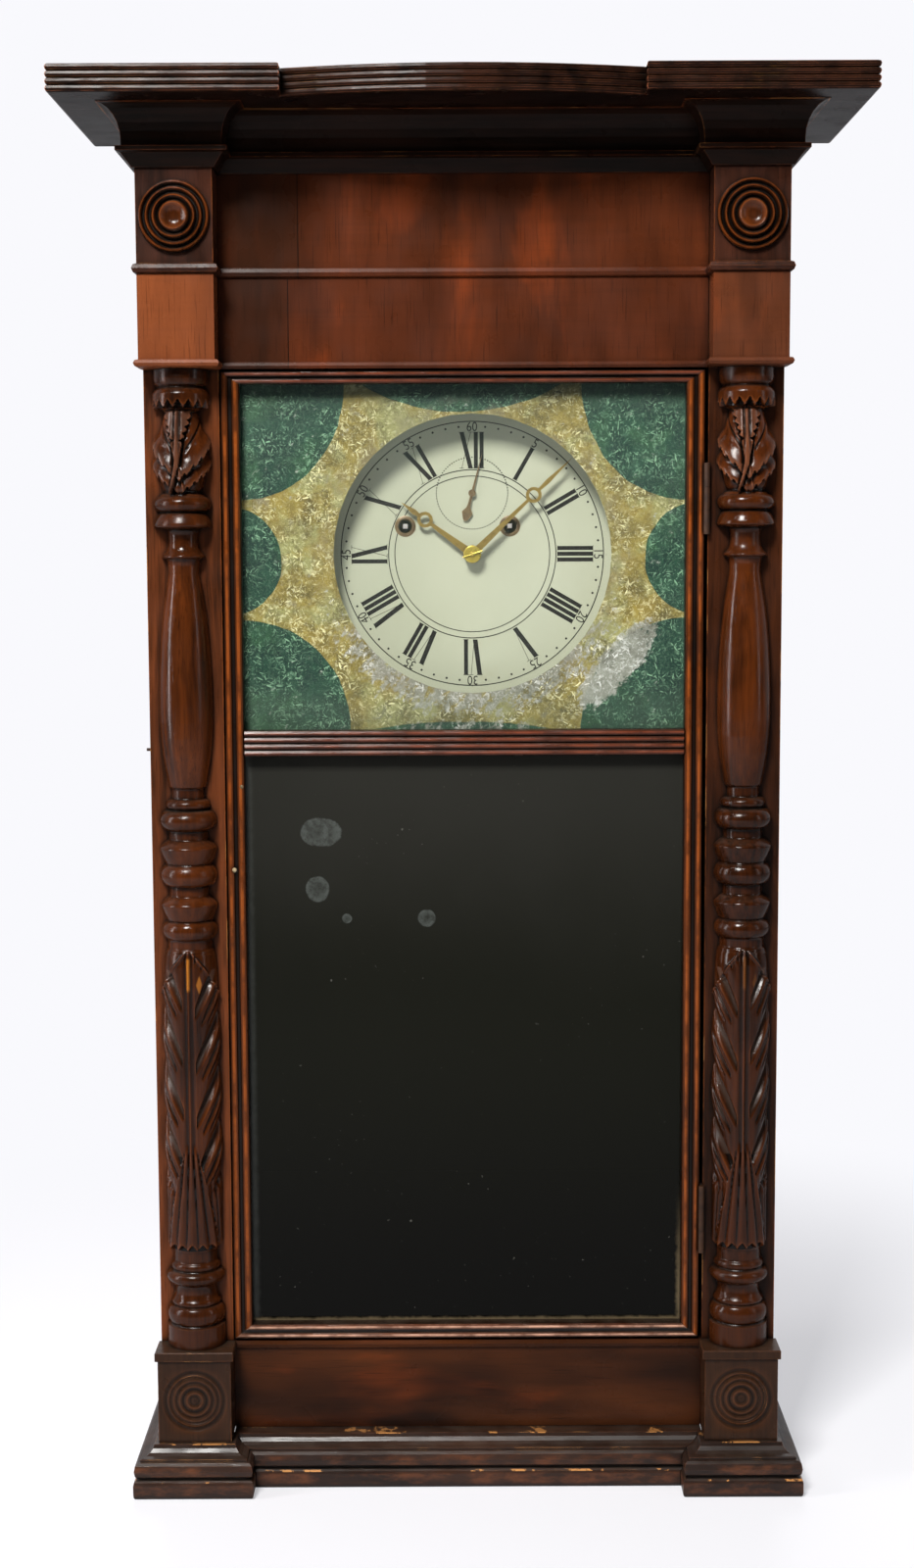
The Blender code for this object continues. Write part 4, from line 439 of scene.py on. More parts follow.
foil = {
    "corners": ((-0.1583, 0.7991, 0.0735, 0.081), (0.1569, 0.7991, 0.0735, 0.0815),
                (-0.1583, 0.5547, 0.0762, 0.0785), (0.1569, 0.5547, 0.0738, 0.0792)),
    "sides": ((-0.1692, 0.6752, 0.0388), (0.1697, 0.6763, 0.0408), (-0.0018, 0.9192, 0.1395),
              (-0.003, 0.1295, 0.4305)),
    "shards": ((150.0, 0.42, 0.085), (260.0, 0.48, 0.1), (470.0, 0.5, 0.15)),
    "worn": {"x": 0.109, "z": 0.6, "lean": math.radians(49), "long": 0.041, "wide": 0.0135},
}
# ground, light, shade, second ground, how much of the strokes and of the glints shows
leaves = {
    "gold": (tone(166, 150, 72), tone(255, 252, 196), tone(84, 76, 44), tone(164, 164, 104), 1.0, 0.5),
    "green": (tone(38, 80, 60), tone(160, 208, 166), tone(18, 44, 38), tone(50, 92, 62), 0.8, 0.26),
    "bare": (tone(172, 174, 160), tone(252, 253, 248), tone(112, 114, 98), tone(172, 174, 160), 0.95, 0.6),
}


def makeFoil(name):
    material, place = startMaterial(name)
    tree = place.tree
    x, z = split(place)[::2]
    sheet = wireOf(tree, "CombineXYZ", {0: x, 1: z})
    shake = noiseOf(sheet, 70.0, 3.0, 0.5, output="Color")
    bent = vectorCalc("MULTIPLY_ADD", shake, (0.0026, 0.0026, 0.0), sheet)
    loose = vectorCalc("ADD", bent, (-0.0013, -0.0013, 0.0))
    looseX, looseZ = split(loose)[:2]
    rounds = foil["corners"] + tuple((a, b, reach, reach) for a, b, reach in foil["sides"])
    green = brightest(*[spread(oval(looseX, looseZ, *spot), 1.0, 0.985 if spot[2] < 0.1 else 0.995)
                        for spot in rounds])
    # crumpled leaf: bright strokes of three sizes over clouds and fine creases; the strokes, bright facets and
    # glints are painted highlights, the dark creases and facets painted shade
    shards = [useGroup(shardGroup, loose, {"Scale": scale, "Length": length, "Width": width})
              for scale, length, width in foil["shards"]]
    gathered = spread(noiseOf(sheet, 60.0, 4.0, 0.7), 0.42, 0.6, 0.15, 1.0)
    strokes = brightest(shards[0]["Shard"], shards[1]["Shard"], shards[2]["Shard"] * 0.7) * gathered
    cells = [channels(wireOf(tree, "TexVoronoi", {"Vector": bent, "Scale": scale}, "Color",
                             voronoi_dimensions="2D"))[0] for scale in (310.0, 640.0)]
    facets = cells[0] * 0.55 + cells[1] * 0.45
    low, high = spread(facets, 0.44, 0.16) * gathered, spread(facets, 0.64, 0.84) * gathered
    creases = noiseOf(loose, 420.0, 4.0, 0.75, 1.6)
    clouds = noiseOf(sheet, 42.0, 5.0, 0.65)
    broad = noiseOf(sheet, 24.0, 4.0, 0.6)
    deep = spread(creases * 0.5 + clouds * 0.9, 0.76, 0.52)
    glint = spread(creases, 0.54, 0.74)
    mottle = spread(noiseOf(sheet, 95.0, 4.0, 0.7) * 0.6 + broad * 0.5, 0.62, 0.46)
    laid = {}
    for key, (ground, light, shade, patch, lift, shine) in leaves.items():
        laid[key] = paint(blend(spread(broad, 0.48, 0.6), ground, patch), (deep * 0.75, shade),
                          (low * 0.55, shade), (mottle * 0.42, shade), (glint * (0.7 * shine), light),
                          (high * shine, light), (strokes * lift, light))
    warm = spread(noiseOf(sheet, 27.0, 3.0), 0.5, 0.68)
    lilac = spread(noiseOf(sheet, 58.0, 3.0, 0.6), 0.6, 0.72)
    murky = spread(noiseOf(sheet, 33.0, 3.0, 0.6), 0.56, 0.72)
    gold = paint(laid["gold"], (warm * 0.3, tone(178, 152, 66)), (lilac * 0.38, tone(148, 148, 132)))
    colour = blend(green, gold, paint(laid["green"], (murky * 0.6, tone(24, 52, 46))))
    # worn to the bare metal: under the dial, in the lower right and along the foot
    dialX, dialZ = places["dialCentre"]
    besideDial, overDial = x - dialX, z - dialZ
    reach = calc("SQRT", besideDial * besideDial + overDial * overDial)
    heel = spread(reach, 0.128, 0.104) * spread(overDial, -0.02, -0.08)
    worn = foil["worn"]
    along, across = turned(x - worn["x"], z - worn["z"], math.cos(worn["lean"]), math.sin(worn["lean"]))
    patch = abs(along / worn["long"]) ** 2.0 + abs(across / worn["wide"]) ** 2.0
    lowest = spread(z, 0.568, 0.557) * spread(abs(besideDial), 0.08, 0.03)
    torn = brightest(heel * 0.66, spread(patch, 1.5, 0.4) * 0.9, lowest * 0.42)
    leaning = wireOf(tree, "CombineXYZ", {0: along, 1: across * 2.6})
    wisps = noiseOf(leaning, 75.0, 5.0, 0.75) * 2.4 + torn
    ragged = spread(facets * 0.5 + wisps, 1.78, 2.1)
    grey = spread(reach, 0.122, 0.1) * spread(clouds, 0.46, 0.62)
    # painted shadow under the top rail, darkest in a band along the top edge; duller at the foot
    colour = paint(colour, (ragged * 0.9, laid["bare"]), (grey * 0.45, tone(120, 114, 98)),
                   (spread(z, 0.762, 0.7935, 0.0, 0.26), tone(40, 48, 38)),
                   (spread(z, 0.598, 0.566, 0.0, 0.26), tone(84, 100, 84)),
                   (spread(z, 0.7895, 0.7935) * 0.62, tone(24, 38, 38)))
    bump = (strokes * 0.5 + creases, 0.45, 0.0007)
    return finish(material, colour, shards[0]["Level"] * 0.2 + 0.34, 0.3, bump, {"Metallic": 0.15})


# Old looking glass: dark silvering, lighter towards the top as a painted reflection, with places where it has
# failed

mirror = {
    "spots": ((-0.1045, 0.48, 0.015, 0.0105), (-0.109, 0.48, 0.01, 0.01), (-0.1075, 0.4385, 0.0085, 0.0095),
              (-0.0283, 0.417, 0.0064, 0.0064), (-0.0862, 0.4168, 0.0036, 0.0036)),
    "top": tone(44, 44, 40), "middle": tone(18, 19, 11), "foot": tone(7, 7, 5), "bloom": tone(96, 102, 98),
    "speck": tone(120, 120, 112), "side": tone(120, 124, 120), "worn": tone(112, 98, 74),
}


def makeMirror(name):
    material, place = startMaterial(name)
    x, z = split(place)[::2]
    smudge = useGroup(dustGroup, place, {"Scale": 7.0})["Smudge"]
    shake = noiseOf(place, 150.0, 4.0, 0.7)
    discs = []
    for spot in mirror["spots"]:
        away = shake * 0.7 + oval(x, z, *spot)
        discs.append(spread(away, 1.45, 1.2) * spread(away, 0.1, 1.2, 0.45, 1.0))
    bloom = brightest(*discs)
    broken = spread(noiseOf(place, 240.0, 5.0, 0.75), 0.36, 0.6, 0.35, 1.0)
    specks = spread(noiseOf(place, 300.0, 2.0, 0.5), 0.7, 0.75) * spread(noiseOf(place, 16.0, 2.0), 0.5, 0.66)
    leftEdge = spread(shake * 0.004 + x, -0.15, -0.159)
    rightEdge = spread(shake * -0.006 + x, 0.15, 0.1535) * spread(z, 0.22, 0.13)
    worn = brightest(spread(shake * 0.005 + z, 0.1215, 0.1185), rightEdge)
    # painted reflection: darkest at the foot, lighter towards the top
    colour = paint(blend(spread(z, 0.13, 0.36), mirror["foot"], mirror["middle"]),
                   (spread(smudge * 0.02 + z, 0.36, 0.54), mirror["top"]),
                   (bloom * broken * 0.55, mirror["bloom"]), (specks * 0.5, mirror["speck"]),
                   (leftEdge * 0.35, mirror["side"]), (worn * 0.85, mirror["worn"]))
    return finish(material, colour, brightest(bloom, worn) * 0.4 + (smudge * 0.05 + 0.05), 0.12)


def makeInk(name, ink, fade):
    material, place = startMaterial(name)
    rubbed = spread(noiseOf(place, 420.0, 3.0, 0.7), 0.56, 0.78)
    return finish(material, blend(rubbed * fade, ink, tone(150, 150, 130)), 0.5, 0.3)


def makeBraid(name):
    material, place = startMaterial(name)
    smudge = useGroup(dustGroup, place, {"Scale": 60.0})["Smudge"]
    twist = wireOf(place.tree, "TexWave", {"Vector": place, "Scale": 260.0, "Distortion": 1.5}, "Fac",
                   bands_direction="DIAGONAL")
    colour = paint(blend(twist, tone(112, 92, 60), tone(170, 146, 104)), (smudge * 0.4, tone(80, 64, 42)))
    return finish(material, colour, 0.9, bump=(twist, 0.7, 0.0003))


def makeBone(name):
    material, place = startMaterial(name)
    streak = noiseOf(stretch(place, (1.0, 1.0, 0.1)), 900.0)
    return finish(material, blend(streak, tone(198, 182, 146), tone(150, 128, 92)), 0.4)


crest = (-0.0234, -0.0212)
woods = {
    "mahoganyUpright": {},
    # the left board is painted lighter and the right board darker, as light and shade from the left
    "mahoganyLeftBoardLit": {"dark": tone(50, 26, 13), "middle": tone(126, 66, 34)},
    "mahoganyRightBoardShaded": {"dark": tone(28, 14, 7), "middle": tone(78, 40, 20)},
    "mahoganyUpperBlock": {"dark": tone(36, 19, 12), "middle": tone(74, 40, 27), "chips": 0.5},
    "mahoganyCarved": {"dark": tone(38, 17, 6), "middle": tone(106, 51, 18), "lit": tone(156, 84, 40), "wear": 0.3,
                       "chips": 0.2, "sheen": 0.24, "roughness": 0.13, "grooveShade": 1.0, "carving": True},
    "mahoganyCornice": {"run": "across", "dark": tone(12, 7, 4), "middle": tone(38, 20, 12),
                        "lit": tone(120, 62, 32), "wear": 0.65, "chips": 0.3, "sheen": 0.08},
    "mahoganyReeded": {"run": "across", "dark": tone(12, 6, 4), "middle": tone(36, 19, 12),
                       "lit": tone(186, 112, 78), "wear": 0.9, "chips": 0.6, "sheen": 0.09, "roughness": 0.16,
                       "grooveShade": 1.0},
    "mahoganyBase": {"run": "across", "dark": tone(26, 16, 11), "middle": tone(60, 36, 23),
                     "lit": tone(112, 64, 36), "wear": 0.7, "chips": 0.8, "sheen": 0.44, "roughness": 0.3,
                     "rubbed": ((0.0145, 0.0255), (0.001, 0.0125)),
                     "worn": ((0.0, 0.0014, 0.14), (0.0118, 0.0134, 0.1), (0.0352, 0.0362, 0.13))},
    "mahoganyBaseBlock": {"dark": tone(26, 15, 9), "middle": tone(60, 37, 22), "lit": tone(132, 78, 46),
                          "wear": 0.7, "sheen": 0.2, "crests": 1.2, "carving": True},
    "mahoganyDoorUp": {"dark": tone(48, 21, 7), "middle": tone(96, 46, 15), "lit": tone(150, 76, 28), "wear": 0.5,
                       "chips": 0.15, "crest": crest, "sheen": 0.22},
    # the bottom rail's brighter crests are a painted highlight where light falls on its top
    "mahoganyDoorFootLit": {"run": "across", "dark": tone(44, 22, 12), "middle": tone(92, 52, 34), "wear": 0.6,
                         "lit": tone(214, 164, 138), "chips": 0.15, "crest": crest, "sheen": 0.4, "roughness": 0.2},
    "mahoganyDoorAcross": {"run": "across", "dark": tone(38, 18, 9), "middle": tone(80, 42, 27), "wear": 0.5,
                           "lit": tone(120, 60, 38), "chips": 0.15, "crest": crest, "sheen": 0.26,
                           "roughness": 0.14},
}
veneers = {
    "veneerUpper": (tone(38, 20, 11), tone(98, 46, 22), -0.116),
    "veneerLower": (tone(38, 20, 12), tone(96, 46, 24), -0.1235),
    # the left lower block is painted lighter and the right one darker, as light and shade from the left
    "veneerLeftBlockLit": (tone(82, 43, 25), tone(146, 78, 42)),
    "veneerRightBlockShaded": (tone(60, 32, 19), tone(106, 57, 34)),
    "veneerDark": (tone(26, 15, 10), tone(84, 44, 20), None, "across"),
}
metals = {
    "dullBrass": (tone(176, 152, 82), tone(138, 116, 62), tone(44, 34, 18), 0.34, 0.55, tone(214, 192, 118)),
    "agedBrass": (tone(66, 40, 22), tone(46, 27, 15), tone(14, 9, 6), 0.5, 0.2),
    "brightBrass": (tone(226, 206, 96), tone(190, 168, 66), tone(70, 56, 24), 0.26, 0.6, tone(250, 238, 160)),
    "copperBrass": (tone(132, 112, 78), tone(98, 80, 54), tone(30, 22, 14), 0.34, 0.2, tone(200, 172, 124)),
    "filedSteel": (tone(214, 210, 204), tone(178, 172, 164), tone(60, 54, 48), 0.3, 0.1),
    "greySteel": (tone(150, 148, 144), tone(112, 108, 102), tone(36, 32, 28), 0.34),
}
finishes = {name: makeMahogany(name, changes) for name, changes in woods.items()}
finishes.update({name: makeVeneer(name, *choice) for name, choice in veneers.items()})
finishes.update({name: makeMetal(name, *choice) for name, choice in metals.items()})
for name, make in (("oldPine", makePine), ("castIron", makeCastIron), ("dialPaint", makeDialPaint),
                   ("tabletPane", makePaneGlass), ("tabletFoil", makeFoil), ("lookingGlass", makeMirror),
                   ("braidedCord", makeBraid), ("boneInlay", makeBone)):
    finishes[name] = make(name)
finishes["printInk"] = makeInk("printInk", tone(30, 26, 22), 0.14)
finishes["finePrintInk"] = makeInk("finePrintInk", tone(36, 33, 27), 0.1)
nodeFinishes = {
    "mahoganyUpright": ("case_side_left", "case_side_right"),
    "mahoganyLeftBoardLit": ("pilaster_board_left",),
    "mahoganyRightBoardShaded": ("pilaster_board_right",),
    "mahoganyUpperBlock": ("upper_block_left", "upper_block_right"),
    "mahoganyCornice": ("cornice_cap_left", "cornice_cap_right", "cornice_cove"),
    "mahoganyReeded": ("cornice_board",),
    "mahoganyBase": ("base_foot_left", "base_foot_right", "base_moulding_centre"),
    "mahoganyDoorUp": ("door_stile_left", "door_stile_right"),
    "mahoganyDoorAcross": ("door_rail_top", "door_rail_middle"),
    "mahoganyDoorFootLit": ("door_rail_bottom",),
    "veneerUpper": ("frieze_upper",),
    "veneerLower": ("frieze_lower",),
    "veneerLeftBlockLit": ("lower_block_left",),
    "veneerRightBlockShaded": ("lower_block_right",),
    "veneerDark": ("apron_panel",),
    "oldPine": ("back_board", "case_floor", "pulley_board", "mirror_backboard"),
    "agedBrass": ("case_hinge_upper", "case_hinge_lower", "door_hinge_upper", "door_hinge_lower"),
    "dullBrass": ("minute_hand", "hour_hand", "minute_wheel", "movement_frame", "drum_left", "drum_right",
                  "strike_bell", "pendulum_bob", "pulley_left", "pulley_right"),
    "copperBrass": ("seconds_hand",),
    "greySteel": ("pendulum_rod", "verge"),
    "castIron": ("strike_hammer", "weight_left", "weight_right"),
    "boneInlay": ("door_catch",),
    "dialPaint": ("dial",),
    "tabletPane": ("tablet_glass",),
    "tabletFoil": ("tablet_foil",),
    "lookingGlass": ("mirror_glass",),
}
for look, names in nodeFinishes.items():
    for name in names:
        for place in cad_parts[name].material_slots:
            place.material = finishes[look]
print("finishes on the CAD pieces")


# Mesh helpers

def newPiece(name, mesh, look, body, sharp=None):
    # smooth apart from edges that turn by more than so many degrees, or flat facets
    piece = bpy.data.objects.new(name, mesh)
    bpy.context.scene.collection.objects.link(piece)
    mesh.materials.clear()
    mesh.materials.append(finishes[look])
    if sharp is not None:
        mesh.shade_smooth()
        mesh.set_sharp_from_angle(angle=math.radians(sharp))
    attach(piece, body)
    return piece


def meshOf(name, verts, faces):
    mesh = bpy.data.meshes.new(name)
    mesh.from_pydata([tuple(v) for v in verts], [], faces)
    mesh.update()
    return mesh


def closeMesh(mesh, reach=1e-7):
    # joins points that meet and turns every face outwards
    bm = bmesh.new()
    bm.from_mesh(mesh)
    bmesh.ops.remove_doubles(bm, verts=bm.verts, dist=reach)
    bmesh.ops.recalc_face_normals(bm, faces=bm.faces)
    bm.to_mesh(mesh)
    bm.free()


def curveMesh(curve):
    holder = bpy.data.objects.new(curve.name, curve)
    bpy.context.scene.collection.objects.link(holder)
    bpy.context.view_layer.update()
    mesh = bpy.data.meshes.new_from_object(holder.evaluated_get(bpy.context.evaluated_depsgraph_get()))
    bpy.data.objects.remove(holder)
    return mesh


def ringQuads(first, second, count):
    # faces between two rings of points
    return [(first + i, second + i, second + (i + 1) % count, first + (i + 1) % count) for i in range(count)]


def circle(steps):
    return [2 * math.pi * i / steps for i in range(steps)]


def keepCarving(mesh, values):
    # how far each point stands above (over 0.5) or below its surroundings; the finish paints high points lighter
    # and low ones darker, as painted highlight and shade
    kept = mesh.attributes.new("carving", "FLOAT", "POINT")
    kept.data.foreach_set("value", np.clip(values, 0, 1).astype(np.float32).ravel())


def lathe(name, profile, centre, steps, look, body, sharp=40, levels=None):
    # profile of (radius, how far towards the viewer) in mm, from the middle of the front to the back
    verts = [(centre[0] + radius * mm * math.cos(a), centre[1] - ahead * mm, centre[2] + radius * mm * math.sin(a))
             for radius, ahead in profile for a in circle(steps)]
    faces = [face for ring in range(len(profile) - 1)
             for face in ringQuads(ring * steps, (ring + 1) * steps, steps)]
    mesh = meshOf(name, verts, faces)
    if levels is not None:
        keepCarving(mesh, np.repeat(levels, steps))
    closeMesh(mesh)
    return newPiece(name, mesh, look, body, sharp)


# Half columns, turned and carved

column = {
    "rowStep": 0.72, "columns": 101, "lowest": 8.0, "highest": 21.9,
    "sawTeeth": 8.5, "sawDepth": 6.0, "sawGround": 16.4, "leafPitch": 40.0, "climb": 42.0, "stagger": 6.0,
    # how much darker each turning is; the right baluster's extra is painted shade
    "darkening": {"leaf": 0.7, "bulb": 0.3, "baluster": 0.0}, "turnedDarkening": 0.55, "footDarkening": 0.85,
    "rightBalusterShade": 0.35,
}
# height, top radius, widest radius, bottom radius in mm and form, from the top down
turnings = (
    (12.4, 19.4, 19.6, 16.6, "swell"), (14.8, 16.4, 20.4, 19.2, "collar"), (60.8, 13.3, 20.7, 15.2, "bulb"),
    (10.9, 16.6, 20.5, 16.6, "round"), (11.5, 14.4, 20.7, 14.6, "ovolo"), (13.0, 11.3, 10.6, 11.2, "neck"),
    (8.2, 11.2, 15.6, 12.4, "flare"), (162.9, 11.0, 19.1, 13.3, "baluster"), (8.3, 11.6, 11.6, 11.6, "plain"),
    (7.7, 13.2, 16.2, 13.2, "round"), (14.7, 15.6, 20.6, 15.6, "round"), (7.0, 14.1, 14.1, 14.1, "plain"),
    (17.3, 15.0, 20.9, 16.8, "edge"), (15.8, 16.2, 20.7, 16.2, "round"), (7.8, 14.3, 14.3, 14.3, "plain"),
    (17.3, 15.0, 20.6, 16.6, "edge"), (13.8, 16.0, 20.2, 16.0, "round"), (7.0, 16.0, 15.6, 16.0, "plain"),
    (221.0, 17.6, 20.4, 20.5, "leaf"), (9.5, 16.2, 16.2, 16.2, "plain"), (6.6, 16.6, 18.4, 16.6, "round"),
    (9.5, 18.2, 21.6, 18.2, "round"), (11.8, 17.2, 15.4, 17.2, "cove"), (4.7, 17.0, 18.4, 17.0, "round"),
    (14.4, 18.2, 21.3, 18.2, "round"), (15.8, 21.3, 21.3, 21.3, "plain"),
)
bulb, leaf = 2, 18
# share of the height and how far the turning swells there
forms = {
    "plain": ((0, 0), (1, 0)),
    "round": tuple((i / 12, math.sin(math.pi * i / 12) ** 0.62) for i in range(13)),
    "swell": ((0, 0), (0.25, 0.7), (0.5, 1), (0.8, 0.7), (1, 0)),
    "collar": ((0, 0), (0.12, 0.55), (0.3, 0.95), (0.55, 1), (0.8, 1), (1, 0.8)),
    "cove": ((0, 0), (0.15, 0.5), (0.3, 0.85), (0.5, 1), (0.7, 0.85), (0.85, 0.5), (1, 0)),
    "edge": ((0, 0), (0.08, 0.3), (0.2, 0.72), (0.3, 1), (0.34, 1), (0.5, 0.86), (0.7, 0.6), (0.86, 0.3), (1, 0)),
    "ovolo": ((0, 0), (0.06, 0.34), (0.18, 0.52), (0.35, 0.7), (0.55, 0.86), (0.72, 0.97), (0.84, 1.0),
              (0.93, 0.92), (1, 0.2)),
    "neck": ((0, -4.0), (0.12, -1.0), (0.3, 0.6), (0.6, 1), (0.85, 0.6), (1, 0)),
    "flare": ((0, 0), (0.2, 0.08), (0.4, 0.26), (0.6, 0.55), (0.74, 0.9), (0.8, 1.0), (0.93, 1.0),
              (0.97, 0.5), (1, 0)),
    "bulb": ((0, 0), (0.1, 0.2), (0.2, 0.42), (0.3, 0.66), (0.4, 0.85), (0.5, 0.96), (0.6, 1), (0.7, 0.96),
             (0.8, 0.84), (0.9, 0.6), (1, 0)),
    "baluster": ((0, 0.17), (0.03, 0.04), (0.065, 0), (0.1, 0.1), (0.14, 0.24), (0.21, 0.45), (0.28, 0.62),
                 (0.35, 0.75), (0.42, 0.85), (0.5, 0.94), (0.57, 0.985), (0.64, 1), (0.71, 0.985), (0.78, 0.91),
                 (0.853, 0.73), (0.9, 0.53), (0.94, 0.33), (0.98, 0.13), (1, 0)),
    "leaf": ((0, 0), (0.015, 0.5), (0.05, 0.8), (0.12, 0.97), (0.4, 1), (0.985, 1), (1, 0.6)),
}
# cuts of the leaf shaft in mm: start, nearest and farthest from the midrib, depth (below 0 a ridge), half width
leafCuts = ((0.0, 4.6, 33.0, 3.3, 3.1), (8.2, 6.0, 31.5, -0.8, 0.6), (16.8, 9.0, 31.0, 1.8, 1.5),
            (24.8, 14.0, 30.0, 1.0, 0.9))
dustAndSheenCuts = ((0.0, 4.6, 33.0, 1.0, 2.8), (16.0, 12.0, 31.0, 0.5, 1.3))
# side lobes of the hanging leaf: where the edge lies, its slope, depth of the teeth, height, width of the rise
lobes = ((60.5, 0.66, 2.6, -0.9, 11.0), (51.5, 0.9, 3.0, -0.3, 15.0))


def columnProfile():
    # depth from the top and radius, in mm, and where each turning starts
    depths, radii, starts, depth = [], [], [], 0.0
    for height, top, widest, bottom, form in turnings:
        starts.append(depth)
        for share, reach in forms[form]:
            end = top + (bottom - top) * share
            depths.append(depth + height * share)
            radii.append(end + (widest - end) * reach)
        depth += height
    return depths, radii, starts, depth


def smoothStep(value, low, high):
    share = np.clip((value - low) / (high - low), 0, 1)
    return share * share * (3 - 2 * share)


def cover(height, share, over):
    return height * (1 - share) + over * share


def ridge(off, width):
    return np.exp(-(off / width) ** 2)


def saw(value, pitch):
    return np.abs(((value / pitch) % 1.0) - 0.5) * 2


def sweep(away, midrib=4.5, leafWidth=26.0):
    # how far a cut has climbed at this distance from the midrib, and how steep it is there
    share = np.clip((away - midrib) / leafWidth, 0, 1)
    return column["climb"] * share ** 0.8, 0.8 * column["climb"] / leafWidth * np.clip(share, 0.03, 1) ** -0.2


def gouges(u, v, stagger, cuts):
    # rows of crescent cuts that leave the midrib and sweep up and out
    away, pitch, total = np.abs(u), column["leafPitch"], 0.0
    climb, slope = sweep(away)
    for start, nearest, farthest, depth, width in cuts:
        share = np.clip((away - nearest) / (farthest - nearest), 0, 1)
        off = ((v + climb - stagger - start + pitch / 2) % pitch - pitch / 2) / np.sqrt(1 + slope ** 2)
        taper = np.clip(np.sin(math.pi * (0.06 + 0.9 * share)), 0, 1) ** 0.55 * (away > nearest) * (away < farthest)
        total = total + depth * taper * np.clip(1 - (off / (0.5 + width * taper)) ** 2, 0, None)
    return total


def leafRelief(u, v, length, stagger):
    # overlapping lobes round a fine midrib, a pointed head, and a splayed fan at the foot
    away = np.abs(u)
    crown = np.cos(2 * math.pi * (v + sweep(away)[0] - stagger) / column["leafPitch"])
    height = -0.9 * crown * smoothStep(away, 5, 12) - gouges(u, v, stagger, leafCuts)
    height = cover(height, 1 - smoothStep(away, 2.6, 4.8), -1.3 + 1.5 * ridge(u, 0.9))
    # the fan takes over from the midrib near the foot, with long flutes beside it
    start = 0.63 * length
    wedge = 3.0 + np.clip(v - start, 0, None) * 0.24
    fan = smoothStep(v, start, start + 12) * (1 - smoothStep(away, wedge, wedge + 0.9))
    flutes = saw(np.degrees(np.arctan2(u, v - start + 34.0)) + 2.3, 4.6)
    height = cover(height, fan, 0.9 - 1.9 * flutes ** 1.5)
    beside = smoothStep(v, length - 62, length - 34) * smoothStep(away, wedge + 0.9, wedge + 2.0)
    height = cover(height, beside, -0.3 - 1.5 * saw(away - 0.1 * (v - length), 5.2) ** 1.4)
    # pointed head with a plain shoulder outside it
    edge = 1.5 + 0.8 * v
    height = cover(height, smoothStep(away, edge + 0.8, edge + 1.8) * (v < 40), -0.9)
    height = height + 1.2 * ridge(away - edge, 0.9) * (v < 34) * (v > 1)
    # pointed lower edge
    teeth = length - 1.0 - 4.5 * saw(u, 7.5)
    height = cover(height, smoothStep(v, teeth - 0.4, teeth + 0.4), -3.6)
    return height * smoothStep(v, 0, 1.5)


def acanthusRelief(u, v, length):
    # a hanging middle leaf with a curved vein over two toothed lobes on each side
    away = np.abs(u)
    teeth = saw(away * 1.1 + v * 0.35, 5.0) ** 1.6
    height = -2.8
    for line, slope, deep, rise, broad in lobes:
        edge = line - slope * away
        lobe = 1 - smoothStep(v, edge - deep * teeth - 0.4, edge - deep * teeth + 0.4)
        height = cover(height, lobe, rise - 0.9 + 2.6 * smoothStep(v, edge - broad, edge - 2.0))
    height = height - 1.4 * lobe * ridge(v - 36.0 + 1.3 * away, 1.5) * smoothStep(away, 3, 6)
    parted = np.clip((v - 37.0) / 21.0, 0, 1)
    off = np.abs(u + 1.6 + 4.8 * parted ** 1.2)
    half = np.interp(v, (0, 4, 10, 18, 25, 34, 44, 60), (12.0, 11.2, 9.2, 6.4, 4.0, 2.4, 1.5, 1.0))
    half = half - 2.6 * saw(v + 1.5, 4.8) ** 1.6 * (v < 24)
    height = cover(height, 1 - smoothStep(off, half - 0.35, half + 0.4), 2.0 - 0.1 * off)
    height = height - 1.6 * ridge(off - half - 0.9, 0.8) * smoothStep(v, 2, 6) * (v < 40)
    height = height + 1.3 * ridge(off, 0.75) - ridge(off - 1.9, 0.7)
    height = height + 1.4 * ridge(u + 1.2 - 4.0 * parted, 0.8) * (v > 38)
    return (1.15 * height - 0.6) * smoothStep(v, 0, 2.5) * (1 - smoothStep(v, length - 3, length - 0.5))


def blurred(values, reach):
    # a soft mean over the rows and columns of a grid
    weights = np.exp(-np.linspace(-2, 2, 2 * reach + 1) ** 2)
    weights = weights / weights.sum()
    for axis in (0, 1):
        room = [(reach, reach) if i == axis else (0, 0) for i in (0, 1)]
        padded = np.pad(values, room, mode="edge")
        values = sum(w * np.take(padded, np.arange(i, i + values.shape[axis]), axis=axis)
                     for i, w in enumerate(weights))
    return values


def columnMarks(u, v, relief, starts, side, stagger):
    # dust with a painted sheen in the cuts and on the bulb, bare wood at the leaf's head, and how much darker each
    # turning is (on the right baluster a painted shade), as the three channels of a colour
    bulbTop, leafTop = v - starts[bulb], v - starts[leaf]
    onLeaf = (leafTop >= 0) & (leafTop <= turnings[leaf][0])
    dust = np.clip(gouges(u, leafTop, stagger, dustAndSheenCuts) * 1.3, 0, 1) * (leafTop > 14) * (leafTop < 150)
    onBulb = (bulbTop > 2) & (bulbTop < turnings[bulb][0] - 2)
    dust = dust + 0.45 * smoothStep(relief, -0.6, 1.2) * onBulb
    streak = (1 - smoothStep(np.abs(u), 0.8, 1.5)) * smoothStep(leafTop, 4, 6) * (1 - smoothStep(leafTop, 26, 30))
    fleck = 1 - smoothStep(np.abs(u - 8.0) / 2.6 + np.abs(leafTop - 24.0) / 8.0, 0.7, 1.0)
    bare = onLeaf * np.maximum(streak, 0.7 * fleck) * (0.9 if side < 0 else 0.25)
    darkening = np.zeros_like(u)
    for index, (start, (height, *radii, form)) in enumerate(zip(starts, turnings)):
        share = column["darkening"].get(form, column["turnedDarkening" if index < leaf else "footDarkening"])
        if side > 0 and form == "baluster":
            share += column["rightBalusterShade"]
        darkening = np.where((v >= start) & (v < start + height), share * (1 - bare), darkening)
    return np.stack([dust, bare, darkening, np.zeros_like(u)], axis=-1)


